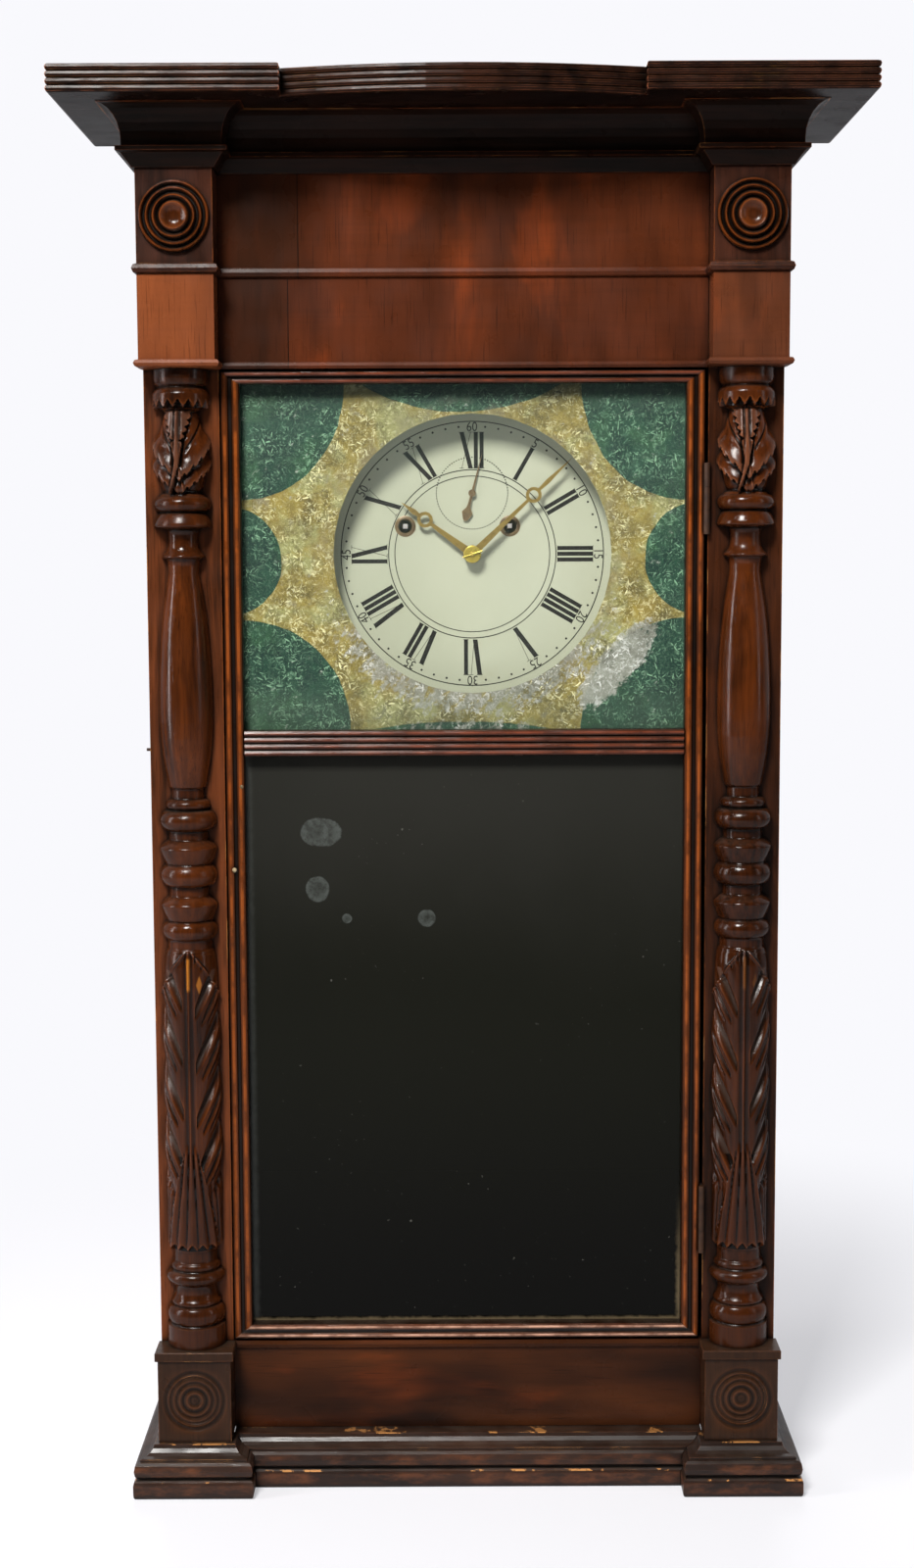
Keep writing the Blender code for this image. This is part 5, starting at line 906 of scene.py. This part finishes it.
def makeColumn(ending, side):
    depths, radii, starts, total = columnProfile()
    rows, across = int(total / column["rowStep"]), column["columns"]
    radius = np.interp(np.linspace(0, total, 5 * rows + 1), depths, radii)
    soft = np.exp(-np.linspace(-2, 2, 9) ** 2)
    radius = np.convolve(np.pad(radius, 4, mode="edge"), soft / soft.sum(), "valid")[::5]
    v, t = np.meshgrid(np.linspace(0, total, rows + 1), np.linspace(-math.pi / 2, math.pi / 2, across),
                       indexing="ij")
    shaft = np.repeat(radius[:, None], across, axis=1)
    u = t * np.maximum(shaft, 12.0)
    stagger = np.where(u * side > 0, 0.0, column["stagger"])
    zigzag = starts[bulb] - column["sawDepth"] * saw(t * column["sawTeeth"], math.pi)
    below = smoothStep(v, zigzag - 0.3, zigzag + 0.3) * (v < starts[bulb] + 0.5)
    r = shaft - below * np.clip(shaft - column["sawGround"], 0, None)
    for index, carve, more in ((bulb, acanthusRelief, ()), (leaf, leafRelief, (stagger,))):
        down, length = v - starts[index], turnings[index][0]
        r = np.where((down >= 0) & (down <= length), r + carve(u, down, length, *more), r)
    r = np.clip(r, column["lowest"], column["highest"])
    relief = r - shaft
    # the carving value: relief against its blurred self, with the turned grooves; the finish paints high points
    # lighter, as rubbed polish and painted highlight, and low points darker as painted shade
    raised = (relief - blurred(relief, 3)) / 1.6 + (relief - blurred(relief, 9)) / 4.0
    raised = raised + np.clip((shaft - blurred(shaft, 7)) / 4.5, -0.42, 0.16)
    x = side * places["columnX"] + r * np.sin(t) * mm
    y = places["pilasterY"] - 0.0003 - r * np.cos(t) * mm
    z = places["columnTop"] - v * mm
    faces = [(a, a + across, a + across + 1, a + 1)
             for row in range(rows) for a in range(row * across, (row + 1) * across - 1)]
    faces += [(a, a + across - 1, a + 2 * across - 1, a + across) for a in range(0, rows * across, across)]
    faces += [tuple(range(across)), tuple(reversed(range(rows * across, (rows + 1) * across)))]
    mesh = meshOf("carvedColumn", np.stack([x, y, z], axis=-1).reshape(-1, 3), faces)
    keepCarving(mesh, 0.5 + raised)
    kept = mesh.attributes.new("marks", "FLOAT_COLOR", "POINT")
    kept.data.foreach_set("color", columnMarks(u, v, relief, starts, side, stagger).astype(np.float32).ravel())
    piece = newPiece("carved_column_" + ending, mesh, "mahoganyCarved", "case", 60)
    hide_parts("column_" + ending)


for ending, side in bothSides:
    makeColumn(ending, side)
print("carved columns made")


# Turned rosettes on the upper blocks

rosette = {"radius": 24.7, "height": 5.2, "z": 0.9113, "steps": 96}
# share of the radius and of the height, from the middle out and back
rosetteRings = ((0.0, 0.42), (0.12, 0.4), (0.24, 0.55), (0.31, 0.88), (0.36, 1.0), (0.4, 0.85), (0.43, 0.35),
                (0.47, 0.24), (0.51, 0.55), (0.55, 0.86), (0.58, 0.86), (0.61, 0.55), (0.645, 0.22), (0.68, 0.22),
                (0.715, 0.58), (0.75, 0.8), (0.78, 0.78), (0.805, 0.48), (0.83, 0.18), (0.86, 0.18), (0.89, 0.48),
                (0.925, 0.68), (0.955, 0.66), (0.98, 0.45), (1.0, 0.15), (1.0, 0.0), (0.0, 0.0))


def makeRosette(ending, side):
    centre = (side * places["columnX"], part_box("rosette_" + ending)[1].y, rosette["z"])
    profile = [(share * rosette["radius"], up * rosette["height"]) for share, up in rosetteRings]
    # carving values from the ring heights, so the finish paints crests lighter as painted highlight and grooves
    # darker as painted shade
    levels = [0.35] + [up * 0.95 - 0.06 for share, up in rosetteRings[1:-1]] + [0.5]
    piece = lathe("turned_rosette_" + ending, profile, centre, rosette["steps"], "mahoganyCarved", "case",
                  50, levels)
    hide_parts("rosette_" + ending)


for ending, side in bothSides:
    makeRosette(ending, side)
print("rosettes turned")


# Base blocks, rings turned into the front

baseBlock = {"foot": 0.0363, "capFoot": 0.0967, "capTop": 0.104, "overhang": 0.0019, "round": 0.0006,
             "ahead": 0.024, "ringZ": 0.0672, "radius": 23.4, "depth": 1.15, "steps": 96}
# share of the radius and of the depth, from the rim in
bullseye = ((1.0, 0.0), (0.975, 0.3), (0.93, 0.75), (0.885, 0.8), (0.85, 0.45), (0.815, 0.14), (0.78, 0.35),
            (0.745, 0.78), (0.71, 0.6), (0.67, 0.18), (0.63, 0.18), (0.595, 0.6), (0.56, 0.86), (0.52, 0.5),
            (0.48, 0.12), (0.44, 0.2), (0.4, 0.75), (0.36, 0.95), (0.31, 0.6), (0.27, 0.15), (0.22, 0.12),
            (0.18, 0.5), (0.14, 0.85), (0.08, 0.6), (0.0, 0.5))


def makeBaseBlock(ending, side):
    left, right = (corner.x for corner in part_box("pilaster_board_" + ending))
    front, back = places["pilasterY"] - baseBlock["ahead"], places["pilasterY"] - 0.0003
    foot, capFoot, capTop, over = (baseBlock[key] for key in ("foot", "capFoot", "capTop", "overhang"))
    middle, ringZ = side * places["columnX"], baseBlock["ringZ"]
    corners = [math.atan2(z - ringZ, x - middle) for x in (left, right) for z in (foot, capFoot)]
    turns = sorted([a - math.pi + 0.01 for a in circle(baseBlock["steps"])] + corners)
    count, verts, cuts = len(turns), [], [0.5] * len(turns)
    for turn in turns:
        # from the rings out to the edges of the front
        c, s = math.cos(turn), math.sin(turn)
        reach = min(((right if c > 0 else left) - middle) / c, ((capFoot if s > 0 else foot) - ringZ) / s)
        verts.append((middle + reach * c, front, ringZ + reach * s))
    # carving values: rims and ring crests painted lighter as painted highlight, deeper rings darker as painted
    # shade, the cap a little lighter
    for share, down in bullseye:
        reach, y = share * baseBlock["radius"] * mm, front + down * baseBlock["depth"] * mm
        verts += [(middle + reach * math.cos(turn), y, ringZ + reach * math.sin(turn)) for turn in turns]
        cuts += [0.7 if share == 1 else 0.3 if share == 0 else 0.82 - 0.66 * down] * count
    faces = [face for ring in range(len(bullseye)) for face in ringQuads(ring * count, (ring + 1) * count, count)]
    # the block's other faces, with the cap standing proud of it on three sides
    start = len(verts)
    for out, z in ((0.0, foot), (0.0, capFoot), (over, capFoot + over / 2), (over, capTop - baseBlock["round"]),
                   (over - baseBlock["round"], capTop)):
        verts += [(left - out, back, z), (left - out, front - out, z), (right + out, front - out, z),
                  (right + out, back, z)]
        cuts += [0.5 if out == 0 else 0.62] * 4
    sideFaces = [face for level in range(4) for face in ringQuads(start + 4 * level, start + 4 * level + 4, 4)]
    faces += sideFaces[:1] + sideFaces[2:]
    faces += [(start + 3, start + 2, start + 1, start), tuple(start + 16 + i for i in range(4))]
    mesh = meshOf("baseBlock", verts, faces)
    keepCarving(mesh, np.array(cuts))
    closeMesh(mesh, 1e-6)
    piece = newPiece("ringed_block_" + ending, mesh, "mahoganyBaseBlock", "case", 35)
    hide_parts("base_block_" + ending)


for ending, side in bothSides:
    makeBaseBlock(ending, side)
print("base blocks turned")


# A pin in the door and a nail left in the edge of the case

pin = {"x": -0.1604, "z": 0.5144, "steps": 16,
       "rings": ((0.0, 0.55), (0.78, 0.45), (1.3, 0.1), (1.3, -0.8), (0.0, -0.8))}
nail = {"radius": 0.0011, "length": 0.004, "out": 0.0012, "z": 0.541, "behind": 0.005, "steps": 12}


def makeNail():
    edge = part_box("pilaster_board_left")[0]
    place = Matrix.Translation((edge.x - nail["out"], edge.y + nail["behind"], nail["z"]))
    bm = bmesh.new()
    bmesh.ops.create_cone(bm, cap_ends=True, segments=nail["steps"], radius1=nail["radius"],
                          radius2=nail["radius"], depth=nail["length"],
                          matrix=place @ Matrix.Rotation(math.pi / 2, 4, "Y"))
    mesh = bpy.data.meshes.new("sideNail")
    bm.to_mesh(mesh)
    bm.free()
    newPiece("side_nail", mesh, "agedBrass", "case")


lathe("door_pin", pin["rings"], (pin["x"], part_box("door_stile_left")[0].y, pin["z"]), pin["steps"], "copperBrass",
      "door")
makeNail()
print("pin and nail driven")


# Printed dial

dialPrint = {
    "numeralFoot": 61.7, "numeralHead": 87.4, "thick": 2.9, "thin": 0.34, "serif": 0.34, "inset": 1.7,
    "circles": ((95.1, 0.74), (60.6, 0.7), (56.1, 0.62)), "circleSteps": 180,
    "minuteRadius": 91.0, "minuteSize": 9.4, "minuteWidth": 0.86, "minuteDotRadius": 91.6, "minuteDot": 0.84,
    "secondsRadius": 25.8, "secondsDots": 84, "secondsDot": 0.54, "lift": 0.06, "depth": 0.03,
}
numerals = ("XII", "I", "II", "III", "IIII", "V", "VI", "VII", "VIII", "IX", "X", "XI")
letterWidths = {"I": 4.15, "V": 9.6, "X": 9.8}


def numeralStrokes(word):
    # the four corners of each bar and serif
    foot, head, thick, thin, inset = (dialPrint[key] for key in
                                      ("numeralFoot", "numeralHead", "thick", "thin", "inset"))
    x, serif, quads = -sum(letterWidths[letter] for letter in word) / 2, dialPrint["serif"] / 2, []
    for letter in word:
        width = letterWidths[letter]
        middle, left, right = x + width / 2, x + inset, x + width - inset
        # bars as foot, head and width; serifs as middle, half length and height
        bars, serifs = {
            "I": ([(middle, middle, thick)], [(middle, 2.0, foot), (middle, 2.0, head)]),
            "V": ([(middle + 0.2, left, thick * 1.15), (middle + 0.9, right, thin)],
                  [(left, 2.2, head), (right, 1.6, head)]),
            "X": ([(right, left, thick * 1.1), (left, right, thin)],
                  [(left, 2.2, head), (right, 1.6, head), (left, 1.6, foot), (right, 2.2, foot)]),
        }[letter]
        for low, high, wide in bars:
            half = wide / 2
            quads.append([(low - half, foot), (low + half, foot), (high + half, head), (high - half, head)])
        for at, half, z in serifs:
            left, right, low, high = at - half, at + half, z - serif, z + serif
            quads.append([(left, low), (right, low), (right, high), (left, high)])
        x += width
    return quads


def onDial(x, z, turn, centre):
    # x across and z outwards in mm, turned clockwise from twelve
    across = x * math.cos(turn) + z * math.sin(turn)
    up = z * math.cos(turn) - x * math.sin(turn)
    return (centre[0] + across * mm, places["dialFaceY"] - dialPrint["lift"] * mm, centre[1] + up * mm)


def printPiece(name, mesh, look):
    # gives the print its thickness
    bm = bmesh.new()
    bm.from_mesh(mesh)
    bmesh.ops.recalc_face_normals(bm, faces=bm.faces)
    for face in bm.faces:
        if face.normal.y > 0:
            face.normal_flip()
    made = bmesh.ops.extrude_face_region(bm, geom=bm.faces[:], use_keep_orig=True)
    moved = [item for item in made["geom"] if isinstance(item, bmesh.types.BMVert)]
    bmesh.ops.translate(bm, verts=moved, vec=(0, dialPrint["depth"] * mm, 0))
    bmesh.ops.recalc_face_normals(bm, faces=bm.faces)
    bm.to_mesh(mesh)
    bm.free()
    newPiece(name, mesh, look, "case")


def makeNumerals():
    verts = [onDial(x, z, turn, places["dialCentre"]) for turn, word in zip(circle(12), numerals)
             for quad in numeralStrokes(word) for x, z in quad]
    faces = [(i, i + 1, i + 2, i + 3) for i in range(0, len(verts), 4)]
    printPiece("dial_numerals", meshOf("numerals", verts, faces), "printInk")


def makeDialLines():
    centre, verts, faces = places["dialCentre"], [], []
    for radius, width in dialPrint["circles"]:
        steps = dialPrint["circleSteps"]
        for reach in (radius - width / 2, radius + width / 2):
            verts += [onDial(0, reach, turn, centre) for turn in circle(steps)]
        faces += ringQuads(len(verts) - 2 * steps, len(verts) - steps, steps)
    minutes = [turn for i, turn in enumerate(circle(60)) if i % 5]
    small = (centre[0], places["secondsZ"])
    for turns, middle, radius, size, steps in (
            (minutes, centre, dialPrint["minuteDotRadius"], dialPrint["minuteDot"], 8),
            (circle(dialPrint["secondsDots"]), small, dialPrint["secondsRadius"], dialPrint["secondsDot"], 6)):
        for turn in turns:
            faces.append(tuple(range(len(verts), len(verts) + steps)))
            verts += [onDial(size * math.sin(a), radius + size * math.cos(a), turn, middle) for a in circle(steps)]
    printPiece("dial_lines", meshOf("dialLines", verts, faces), "finePrintInk")


def makeMinuteFigures():
    bm = bmesh.new()
    for index, turn in enumerate(circle(12)):
        text = bpy.data.curves.new("figure", "FONT")
        text.body = str(5 * index or 60)
        text.size = dialPrint["minuteSize"] * mm
        text.align_x, text.align_y = "CENTER", "CENTER"
        flat = curveMesh(text)
        for vert in flat.vertices:
            x, z = vert.co.x / mm * dialPrint["minuteWidth"], vert.co.y / mm + dialPrint["minuteRadius"]
            vert.co = onDial(x, z, turn, places["dialCentre"])
        bm.from_mesh(flat)
        bpy.data.meshes.remove(flat)
    mesh = bpy.data.meshes.new("minuteFigures")
    bm.to_mesh(mesh)
    bm.free()
    printPiece("dial_minute_figures", mesh, "finePrintInk")


makeNumerals()
makeDialLines()
makeMinuteFigures()
print("dial printed")


# Eyelets round the winding holes, and the arbors' square ends, filed bright

eyelet = {"inner": 4.9, "outer": 7.6, "lift": 0.7, "hole": 6.9, "deep": -1.4, "steps": 48}
square = {"half": 1.75, "behind": 2.4, "rings": ((0.8, -1.1), (1.0, -0.8), (1.0, 0.5))}


def makeWindingHole(ending, x, z):
    inner, outer, lift, hole, deep = (eyelet[key] for key in ("inner", "outer", "lift", "hole", "deep"))
    face = places["dialFaceY"]
    ring = [(inner, deep), (inner, 0.35), (inner + 0.4, lift), (outer - 1.1, lift), (outer, 0.12), (outer, 0.04),
            (hole, 0.04), (hole, deep), (inner, deep)]
    lathe("winding_eyelet_" + ending, ring, (x, face, z), eyelet["steps"], "copperBrass", "case")
    verts = [(x + a * square["half"] * share * mm, face + (square["behind"] + back) * mm,
              z + c * square["half"] * share * mm)
             for share, back in square["rings"] for a, c in ((-1, -1), (1, -1), (1, 1), (-1, 1))]
    mesh = meshOf("windingSquare", verts, [(0, 1, 2, 3), (11, 10, 9, 8)] + ringQuads(0, 4, 4) + ringQuads(4, 8, 4))
    closeMesh(mesh)
    newPiece("winding_square_" + ending, mesh, "filedSteel", "drum_" + ending)


for (ending, side), (x, z) in zip(bothSides, places["windingHoles"]):
    makeWindingHole(ending, x, z)
print("eyelets set")


# The hands' collar with its taper pin

collar = {
    "front": 0.0016, "steps": 48, "pinLean": 18.0, "pinHalf": 7.6, "pinAhead": 0.75, "pinSteps": 12,
    "pinEnds": (0.42, 0.72),
    "rings": ((0.0, 1.3), (0.9, 1.25), (1.5, 1.0), (1.8, 0.55), (1.9, 0.06), (2.9, 0.0), (4.9, 0.0), (5.7, -0.08),
              (6.15, -0.3), (6.35, -0.6), (6.35, -1.3), (0.0, -1.3)),
}


def makeHandCollar():
    x, z = places["dialCentre"]
    lathe("hand_collar", collar["rings"], (x, collar["front"], z), collar["steps"], "brightBrass",
          "minute_hand")
    lean = math.radians(collar["pinLean"])
    along = Vector((math.cos(lean), 0, math.sin(lean)))
    side, back = Vector((-along.z, 0, along.x)), Vector((0, 1, 0))
    middle, count = Vector((x, collar["front"] - collar["pinAhead"] * mm, z)), collar["pinSteps"]
    verts = [middle + (along * way * collar["pinHalf"] + (side * math.cos(a) + back * math.sin(a)) * radius) * mm
             for way, radius in zip((-1, 1), collar["pinEnds"]) for a in circle(count)]
    ends = [tuple(range(count)), tuple(range(count, 2 * count))]
    mesh = meshOf("taperPin", verts, ringQuads(0, count, count) + ends)
    closeMesh(mesh)
    newPiece("taper_pin", mesh, "brightBrass", "minute_hand", 40)


makeHandCollar()
print("collar pinned")


# Weight cords: a fixed run from drum to pulley and a run that shortens as its weight rises

cords = {"radius": 0.9, "y": 0.0455, "pulleyX": 0.1558, "drumReach": 15.7, "pulleyReach": 14.2, "weightX": 0.17,
         "eyeTop": 0.2617, "tuck": 0.0004, "rise": 0.6, "bendSteps": 14}


def cordPiece(name, points):
    curve = bpy.data.curves.new(name, "CURVE")
    curve.dimensions = "3D"
    curve.bevel_depth = cords["radius"] * mm
    curve.bevel_resolution = 2
    curve.use_fill_caps = True
    spline = curve.splines.new("POLY")
    spline.points.add(len(points) - 1)
    for spot, (x, z) in zip(spline.points, points):
        spot.co = (x, cords["y"], z, 1.0)
    return newPiece(name, curveMesh(curve), "braidedCord", "case", 180)


def makeCords(ending, side, drumX):
    drum = Vector((drumX, places["windingHoles"][0][1]))
    pulley = Vector((side * cords["pulleyX"], places["pulleyZ"]))
    along = (pulley - drum).normalized()
    lean = math.asin((cords["drumReach"] - cords["pulleyReach"]) * mm / (pulley - drum).length)
    out = (Vector((along.y, -along.x)) * -side * math.cos(lean) + along * math.sin(lean)).normalized()
    route = [drum + out * cords["drumReach"] * mm, pulley + out * cords["pulleyReach"] * mm]
    start, end = math.atan2(out.y, out.x), (0.0 if side > 0 else math.pi)
    for i in range(cords["bendSteps"]):
        turn = start + (end - start) * (i + 1) / cords["bendSteps"]
        route.append(pulley + Vector((math.cos(turn), math.sin(turn))) * cords["pulleyReach"] * mm)
    fixed = cordPiece("cord_over_pulley_" + ending, route)
    x = side * cords["weightX"]
    hanging = cordPiece("cord_to_weight_" + ending,
                        [(x, places["pulleyZ"] - cords["tuck"]), (x, cords["eyeTop"])])
    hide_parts("weight_cord_" + ending)
    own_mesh(hanging)


for (ending, side), (drumX, drumZ) in zip(bothSides, places["windingHoles"]):
    makeCords(ending, side, drumX)
print("cords hung")


# Studio

studio = {
    "wall": tone(249, 249, 253), "floor": tone(198, 198, 202), "lift": 0.42, "reach": 6.0, "below": 0.0002,
    "world": tone(236, 240, 248), "worldStrength": 0.12,
    "camera": (-0.006, -1.5775, 0.6806), "pitch": 6.055, "roll": -0.25, "lens": 50.06, "sensor": 36.0,
}
# place, aim, size in metres, watts and colour
lamps = {
    "keyLight": ((-0.7, -1.95, 2.62), (0.0, 0.0, 0.6), (0.7, 0.7), 106.0, (1.0, 0.98, 0.95)),
    "leftFill": ((-2.1, -0.6, 1.0), (0.0, 0.0, 0.5), (0.28, 1.7), 20.0, (1.0, 0.95, 0.96)),
    "rightFill": ((2.1, -1.0, 1.1), (0.0, 0.0, 0.5), (0.4, 1.6), 4.0, (1.0, 1.0, 1.0)),
    "backLight": ((0.0, 2.2, 1.9), (0.0, 0.1, 0.6), (1.6, 0.8), 20.0, (1.0, 1.0, 1.0)),
}


def makeFloor():
    far, below = studio["reach"], -studio["below"]
    corners = [(-far, -far, below), (far, -far, below), (far, far, below), (-far, far, below)]
    mesh = meshOf("floor", corners, [(0, 1, 2, 3)])
    floor = bpy.data.objects.new("studio_floor", mesh)
    bpy.context.scene.collection.objects.link(floor)
    material, place = startMaterial("paleFloor")
    finish(material, studio["floor"], 0.6, 0.2)
    tree = place.tree
    plain = Wire(tree.nodes["Principled BSDF"].outputs[0])
    lift = wireOf(tree, "Emission", {"Color": studio["wall"], "Strength": studio["lift"]})
    lifted = wireOf(tree, "AddShader", {0: plain, 1: lift})
    # away from the clock the floor runs into the white wall
    white = wireOf(tree, "Emission", {"Color": studio["wall"], "Strength": 1.0})
    away = spread(vectorCalc("LENGTH", place, output="Value"), 0.35, 1.0)
    seamless = wireOf(tree, "MixShader", {0: away, 1: lifted, 2: white})
    seen = wireOf(tree, "LightPath", output="Is Camera Ray")
    mixed = wireOf(tree, "MixShader", {0: seen, 1: plain, 2: seamless})
    setInputs(tree.nodes["Material Output"], {"Surface": mixed})
    mesh.materials.append(material)


def makeWorld():
    world = bpy.data.worlds.new("studio")
    bpy.context.scene.world = world
    world.use_nodes = True
    tree = world.node_tree
    plain = tree.nodes["Background"]
    setInputs(plain, {"Color": studio["world"], "Strength": studio["worldStrength"]})
    white = wireOf(tree, "Background", {"Color": studio["wall"], "Strength": 1.0})
    # the room in front of the clock is dimmer than the white wall behind it
    share = spread(split(wireOf(tree, "TexCoord", output="Generated"))[1], -0.2, 0.3, 0.022, 0.5)
    room = wireOf(tree, "Background", {"Color": studio["wall"], "Strength": share})
    path = addNode(tree, "LightPath").outputs
    shiny = brightest(Wire(path["Is Glossy Ray"]), Wire(path["Is Transmission Ray"]))
    unseen = wireOf(tree, "MixShader", {0: shiny, 1: Wire(plain.outputs[0]), 2: room})
    sky = wireOf(tree, "MixShader", {0: Wire(path["Is Camera Ray"]), 1: unseen, 2: white})
    setInputs(tree.nodes["World Output"], {"Surface": sky})


def makeLamp(name, place, aim, size, power, colour):
    lamp = bpy.data.lights.new(name, "AREA")
    lamp.shape = "RECTANGLE"
    lamp.size, lamp.size_y = size
    lamp.energy = power
    lamp.color = colour
    holder = bpy.data.objects.new(name, lamp)
    bpy.context.scene.collection.objects.link(holder)
    holder.location = place
    holder.rotation_euler = (Vector(aim) - Vector(place)).to_track_quat("-Z", "Y").to_euler()


def makeCamera():
    data = bpy.data.cameras.new("camera")
    data.sensor_fit = "VERTICAL"
    data.sensor_width = data.sensor_height = studio["sensor"]
    data.lens = studio["lens"]
    camera = bpy.data.objects.new("camera", data)
    bpy.context.scene.collection.objects.link(camera)
    pitch = Matrix.Rotation(math.radians(90 - studio["pitch"]), 4, "X")
    roll = Matrix.Rotation(math.radians(studio["roll"]), 4, "Z")
    camera.matrix_world = Matrix.Translation(studio["camera"]) @ pitch @ roll
    bpy.context.scene.camera = camera


makeFloor()
makeWorld()
for name, choice in lamps.items():
    makeLamp(name, *choice)
makeCamera()
bpy.context.scene.view_settings.view_transform = "Standard"
print("studio lit")
